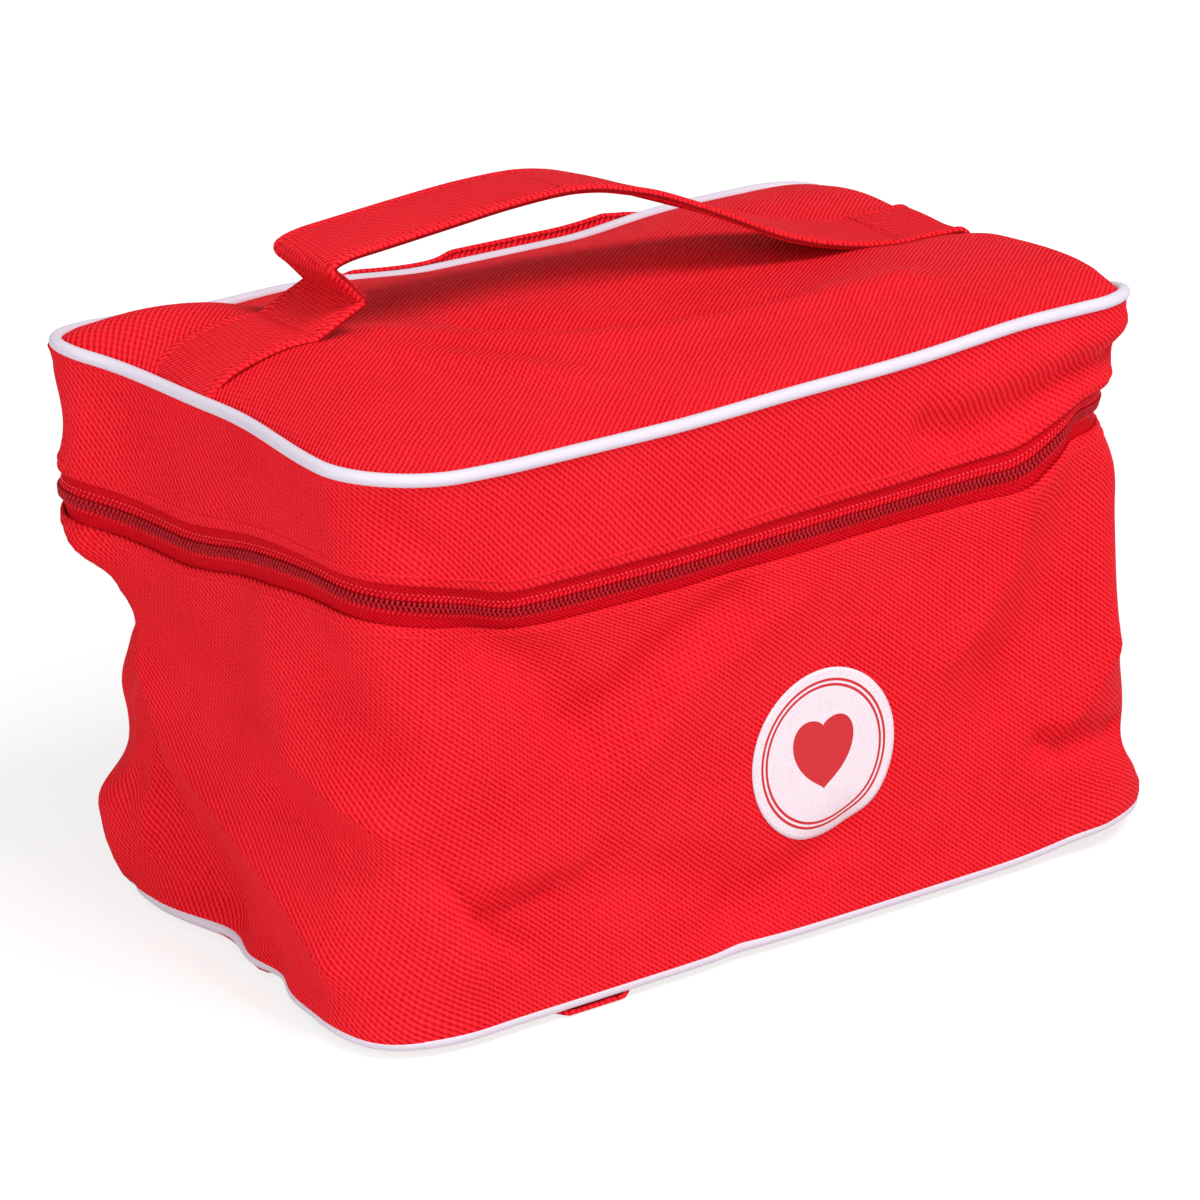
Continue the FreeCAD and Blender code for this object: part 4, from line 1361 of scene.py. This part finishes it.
@dataclass
class Studio:
    """White floor, soft light and the camera."""

    target: Point = (0.0, 0.0, 75.0)
    azimuth: float = -36.67
    elevation: float = 20.41
    distance: float = 1228.3
    lens: float = 150.0
    sensor: float = 36.0
    shift: tuple[float, float] = (-0.0161, -0.0305)
    far: float = 20.0
    floor: float = 12.0
    ambient: float = 0.27
    light_target: Point = (0.0, 0.0, 0.07)
    # Where the floor's glow starts to rise and where it is full, in metres, and its strength at each.
    glow: tuple[float, float, float, float] = (0.2, 0.7, 0.76, 1.0)
    # Name, place and side in metres, and power in watts.
    lights: tuple[tuple[str, Point, float, float], ...] = (
        ("top_softbox", (0.2, -0.75, 1.35), 0.6, 19.0),
        ("front_softbox", (-0.35, -1.4, 0.5), 0.9, 9.0),
        ("left_softbox", (-1.5, 0.0, 0.45), 0.8, 10.5))

    def build(self) -> None:
        """Set up the floor, the light and the camera."""
        bpy.context.scene.view_settings.view_transform = "Standard"
        self.make_floor()
        self.make_world()
        for light in self.lights:
            self.add_light(*light)
        self.make_camera()

    def seen_rays(self, tree: Tree) -> Link:
        """Tell the rays that see the background: straight, mirrored and passed through."""
        rays = add(tree, "ShaderNodeLightPath").outputs
        straight = add(tree, "ShaderNodeMath", {
            0: rays["Is Camera Ray"], 1: rays["Is Glossy Ray"]}, operation="MAXIMUM")
        return add(tree, "ShaderNodeMath", {
            0: straight.outputs[0], 1: rays["Is Transmission Ray"]}, operation="MAXIMUM").outputs[0]

    def make_floor(self) -> None:
        """Lay a wide white floor that keeps the case's shadow."""
        start_piece()
        bpy.ops.mesh.primitive_plane_add(size=self.floor, location=(0, 0, 0))
        floor = bpy.context.view_layer.objects.active
        floor.name = "studio_floor"
        material, tree = new_material("white_paper_floor")
        paper = add(tree, "ShaderNodeBsdfDiffuse", {"Color": linear("#E0E0E0")})
        matt = add(tree, "ShaderNodeBsdfDiffuse", {"Color": linear("#929292")})
        place = add(tree, "ShaderNodeTexCoord").outputs["Object"]
        away = add(tree, "ShaderNodeVectorMath", {0: place}, operation="LENGTH").outputs["Value"]
        start, full, weak, strong = self.glow
        glare = add(tree, "ShaderNodeMapRange", {
            "Value": away, "From Min": start, "From Max": full, "To Min": weak, "To Max": strong})
        glow = add(tree, "ShaderNodeEmission", {"Color": linear("#FFFFFF"), "Strength": glare.outputs[0]})
        lit = add(tree, "ShaderNodeAddShader", {0: matt.outputs[0], 1: glow.outputs[0]})
        shader = add(tree, "ShaderNodeMixShader", {
            0: self.seen_rays(tree), 1: paper.outputs[0], 2: lit.outputs[0]})
        add(tree, "ShaderNodeOutputMaterial", {"Surface": shader.outputs[0]})
        floor.data.materials.append(material)

    def make_world(self) -> None:
        """Surround the case with even white light, and a white background for the camera."""
        world = bpy.data.worlds.new("studio_world")
        bpy.context.scene.world = world
        world.use_nodes = True
        tree = world.node_tree
        tree.nodes.clear()
        strength = add(tree, "ShaderNodeMapRange", {
            "Value": self.seen_rays(tree), "To Min": self.ambient, "To Max": 1.0})
        sky = add(tree, "ShaderNodeBackground", {"Color": linear("#FFFFFF"), "Strength": strength.outputs[0]})
        add(tree, "ShaderNodeOutputWorld", {"Surface": sky.outputs[0]})

    def add_light(self, name: str, place: Point, size: float, power: float) -> None:
        """Hang one square softbox that faces the case.

        Args:
            name: Name of the light.
            place: Its place in metres.
            size: Its side in metres.
            power: Its power in watts.
        """
        light = bpy.data.lights.new(name, "AREA")
        light.size, light.energy = size, power
        lamp = bpy.data.objects.new(name, light)
        bpy.context.scene.collection.objects.link(lamp)
        lamp.location = place
        aim = np.array(self.light_target) - np.array(place)
        reach = float(np.linalg.norm(aim))
        lamp.rotation_euler = (math.acos(-aim[2] / reach), 0.0, math.atan2(aim[1], aim[0]) - math.pi / 2)

    def make_camera(self) -> None:
        """Place the camera at the photograph's viewing angle."""
        camera = bpy.data.cameras.new("photo_camera")
        camera.lens, camera.sensor_width = self.lens, self.sensor
        camera.shift_x, camera.shift_y = self.shift
        camera.clip_end = self.far
        eye = bpy.data.objects.new("photo_camera", camera)
        bpy.context.scene.collection.objects.link(eye)
        turn, rise = math.radians(self.azimuth), math.radians(self.elevation)
        back = (math.sin(turn) * math.cos(rise), -math.cos(turn) * math.cos(rise), math.sin(rise))
        eye.location = tuple((t + b * self.distance) * MM for t, b in zip(self.target, back))
        eye.rotation_euler = (math.pi / 2 - rise, 0.0, turn)
        bpy.context.scene.camera = eye


def main() -> None:
    """Build every sub-assembly in order and log each piece's faces."""
    logging.basicConfig(level=logging.INFO, format="%(name)s: %(message)s")
    finishes = Finishes()
    lid = CaseLid(finishes)
    CaseBody(finishes).build()
    lid.build()
    ZipFastener(finishes).build()
    HandleStrap(finishes, lid).build()
    ZipSlider(finishes).build()
    Studio().build()


if __name__ == "__main__":
    main()
